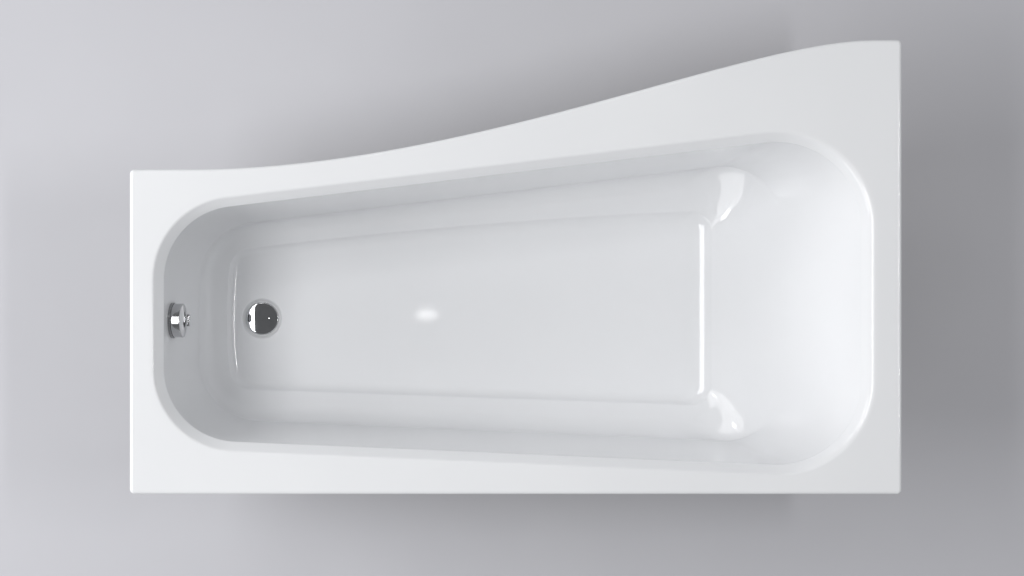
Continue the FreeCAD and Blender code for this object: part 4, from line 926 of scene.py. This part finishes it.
# The knob's chrome is lowered to mid grey: a painted dark reflection on its face.
knob_finishes = (chrome_painted_dark_reflection("knob_chrome_painted_dark_reflection", 0.56), sunk_mark_painted_shade())
knob = piece_from(bm, "crowned_knob", knob_finishes, "knob", "chrome", "overflow_knob")
grip = rounded_block(
    (knob_radius + grip_overhang - grip_depth, -grip_half, knob_inside),
    (knob_radius + grip_overhang, grip_half, knob_face_z + grip_height), knob_edge_round,
)
grip.transform(overflow_frame)
shaped_by(knob, grip, "UNION")
window = rounded_block(
    (0, -knob_window_half, knob_back - cut_past), (knob_window_reach, knob_window_half, knob_inside), 0,
)
window.transform(overflow_frame)
shaped_by(knob, window)
mark_z = crown_height(math.hypot(mark_up, mark_aside)) - mark_depth
mark = rounded_block(
    (-mark_up - mark_half_width, -mark_aside - mark_half_length, mark_z),
    (-mark_up + mark_half_width, -mark_aside + mark_half_length, knob_face_z + cut_past), 0,
)
mark.transform(overflow_frame)
shaped_by(knob, mark)
# Faces sunk in the mark take the near-black painted shade.
to_overflow = overflow_frame.inverted()
for polygon in knob.data.polygons:
    centre = to_overflow @ polygon.center
    in_width = abs(centre.x + mark_up) <= mark_half_width + mark_slack
    in_length = abs(centre.y + mark_aside) <= mark_half_length + mark_slack
    sunk = centre.z < crown_height(math.hypot(centre.x, centre.y)) - mark_least_depth
    if in_width and in_length and sunk and centre.z > knob_inside + mark_least_height:
        polygon.material_index = 1

# The rosette's chrome is lowered to dark grey: a painted dark reflection round its ring.
dress(chrome_painted_dark_reflection("rosette_chrome_painted_dark_reflection", 0.34), "overflow_rosette")
dress(brass_finish, "knob_spindle")
dress(pad_finish, "cable_cam", "overflow_body", "overflow_nut_top", "overflow_nut_base")
dress(rubber_finish, "overflow_gasket")
dress(steel_finish, "overflow_screws")
dress(pipe_finish, "overflow_pipe")


# Control cable
# Steel cable in a stiff sheath of grey plastic, which runs from the overflow body down to the waste body. The
# cam pulls its upper end, and its lower end swings the rocker.

def cable_sheath():
    """Ribbed grey sheath."""
    return clouded("cable_sheath", (0.16, 0.16, 0.17), roughness=0.5, scale=240.0, dark=(0.12, 0.12, 0.13),
                   light=(0.21, 0.21, 0.22), rough_range=(0.42, 0.60), stretch=(1, 1, 0.3))


dress(cable_sheath(), "control_cable")


# Floor of the room, light and camera
# A plain pale floor under soft lamps, the large ones beyond the foot end, with dim light from the room all
# round and the camera straight above the tub.

floor_half = 6.0


def pale_floor():
    """Smooth pale grey floor, faintly mottled."""
    return clouded("studio_floor", (0.55, 0.55, 0.585), roughness=0.6, scale=1.5, dark=(0.535, 0.535, 0.57),
                   light=(0.565, 0.565, 0.60))


bm = bmesh.new()
for x, y in ((-1, -1), (1, -1), (1, 1), (-1, 1)):
    bm.verts.new((x * floor_half, y * floor_half, 0))
bm.faces.new(bm.verts)
mesh = bpy.data.meshes.new("studio_floor")
bm.to_mesh(mesh)
bm.free()
mesh.materials.append(pale_floor())
studio_floor = bpy.data.objects.new("studio_floor", mesh)
scene = bpy.context.scene
scene.collection.objects.link(studio_floor)

scene.view_settings.view_transform = "Standard"
world = bpy.data.worlds.new("studio")
world.use_nodes = True
scene.world = world
nodes, links = world.node_tree.nodes, world.node_tree.links
direction = nodes.new("ShaderNodeTexCoord")
parts = nodes.new("ShaderNodeSeparateXYZ")
links.new(direction.outputs["Generated"], parts.inputs["Vector"])


def worked(operation, *values):
    """Value of the room's light, worked out from numbers and from other such values."""
    node = nodes.new("ShaderNodeMath")
    node.operation = operation
    for socket, value in zip(node.inputs, values):
        if isinstance(value, (int, float)):
            socket.default_value = value
        else:
            links.new(value, socket)
    return node.outputs["Value"]


room_light, glow_falloff = 0.12, 3
for axis, towards, strength in (("X", -1, 0.4), ("X", 1, 0.5), ("Y", 1, 0.2), ("Y", -1, 0.2)):
    facing = worked("MAXIMUM", worked("MULTIPLY", parts.outputs[axis], towards), 0)
    room_light = worked("MULTIPLY_ADD", worked("POWER", facing, glow_falloff), strength, room_light)
nodes["Background"].inputs["Color"].default_value = (0.97, 0.98, 1.0, 1)
links.new(room_light, nodes["Background"].inputs["Strength"])


def soft_lamp(name, place, width, height, power, aim=None):
    """Rectangular lamp that faces a point, or else straight down."""
    aim = aim or (place[0], place[1], 0.0)
    lamp = bpy.data.lights.new(name, "AREA")
    lamp.shape = "RECTANGLE"
    lamp.size, lamp.size_y = width, height
    lamp.energy = power
    holder = bpy.data.objects.new(name, lamp)
    holder.location = place
    holder.rotation_euler = (Vector(aim) - Vector(place)).to_track_quat("-Z", "Y").to_euler()
    scene.collection.objects.link(holder)


backrest = (0.4, 0.0, 0.3)
soft_lamp("softbox", (-2.875, 0.1, 5.0), width=1.85, height=3.8, power=157)
soft_lamp("left_front_lamp", (-6.6, 3.8, 3.5), width=5.6, height=3.6, power=184, aim=backrest)
soft_lamp("left_wall_lamp", (-6.6, -3.8, 3.5), width=5.6, height=3.6, power=184, aim=backrest)
soft_lamp("small_front_lamp", (-7.0, 2.7, 3.5), width=0.7, height=0.5, power=12, aim=backrest)
soft_lamp("small_wall_lamp", (-7.2, -1.2, 3.5), width=0.8, height=0.6, power=14, aim=backrest)
soft_lamp("head_strip", (2.3, 0.0, 5.0), width=0.25, height=1.5, power=54)
soft_lamp("front_strip", (-0.6, 2.2, 5.0), width=2.2, height=0.15, power=7)
soft_lamp("camera_lamp", (-0.41, -0.17, 5.5), width=0.085, height=0.030, power=0.1)

camera_data = bpy.data.cameras.new("camera")
camera_data.lens = 79.9
camera_data.sensor_width = 36.0
camera = bpy.data.objects.new("camera", camera_data)
camera.location = (-0.00825, -0.0462, 5.57)
scene.collection.objects.link(camera)
scene.camera = camera
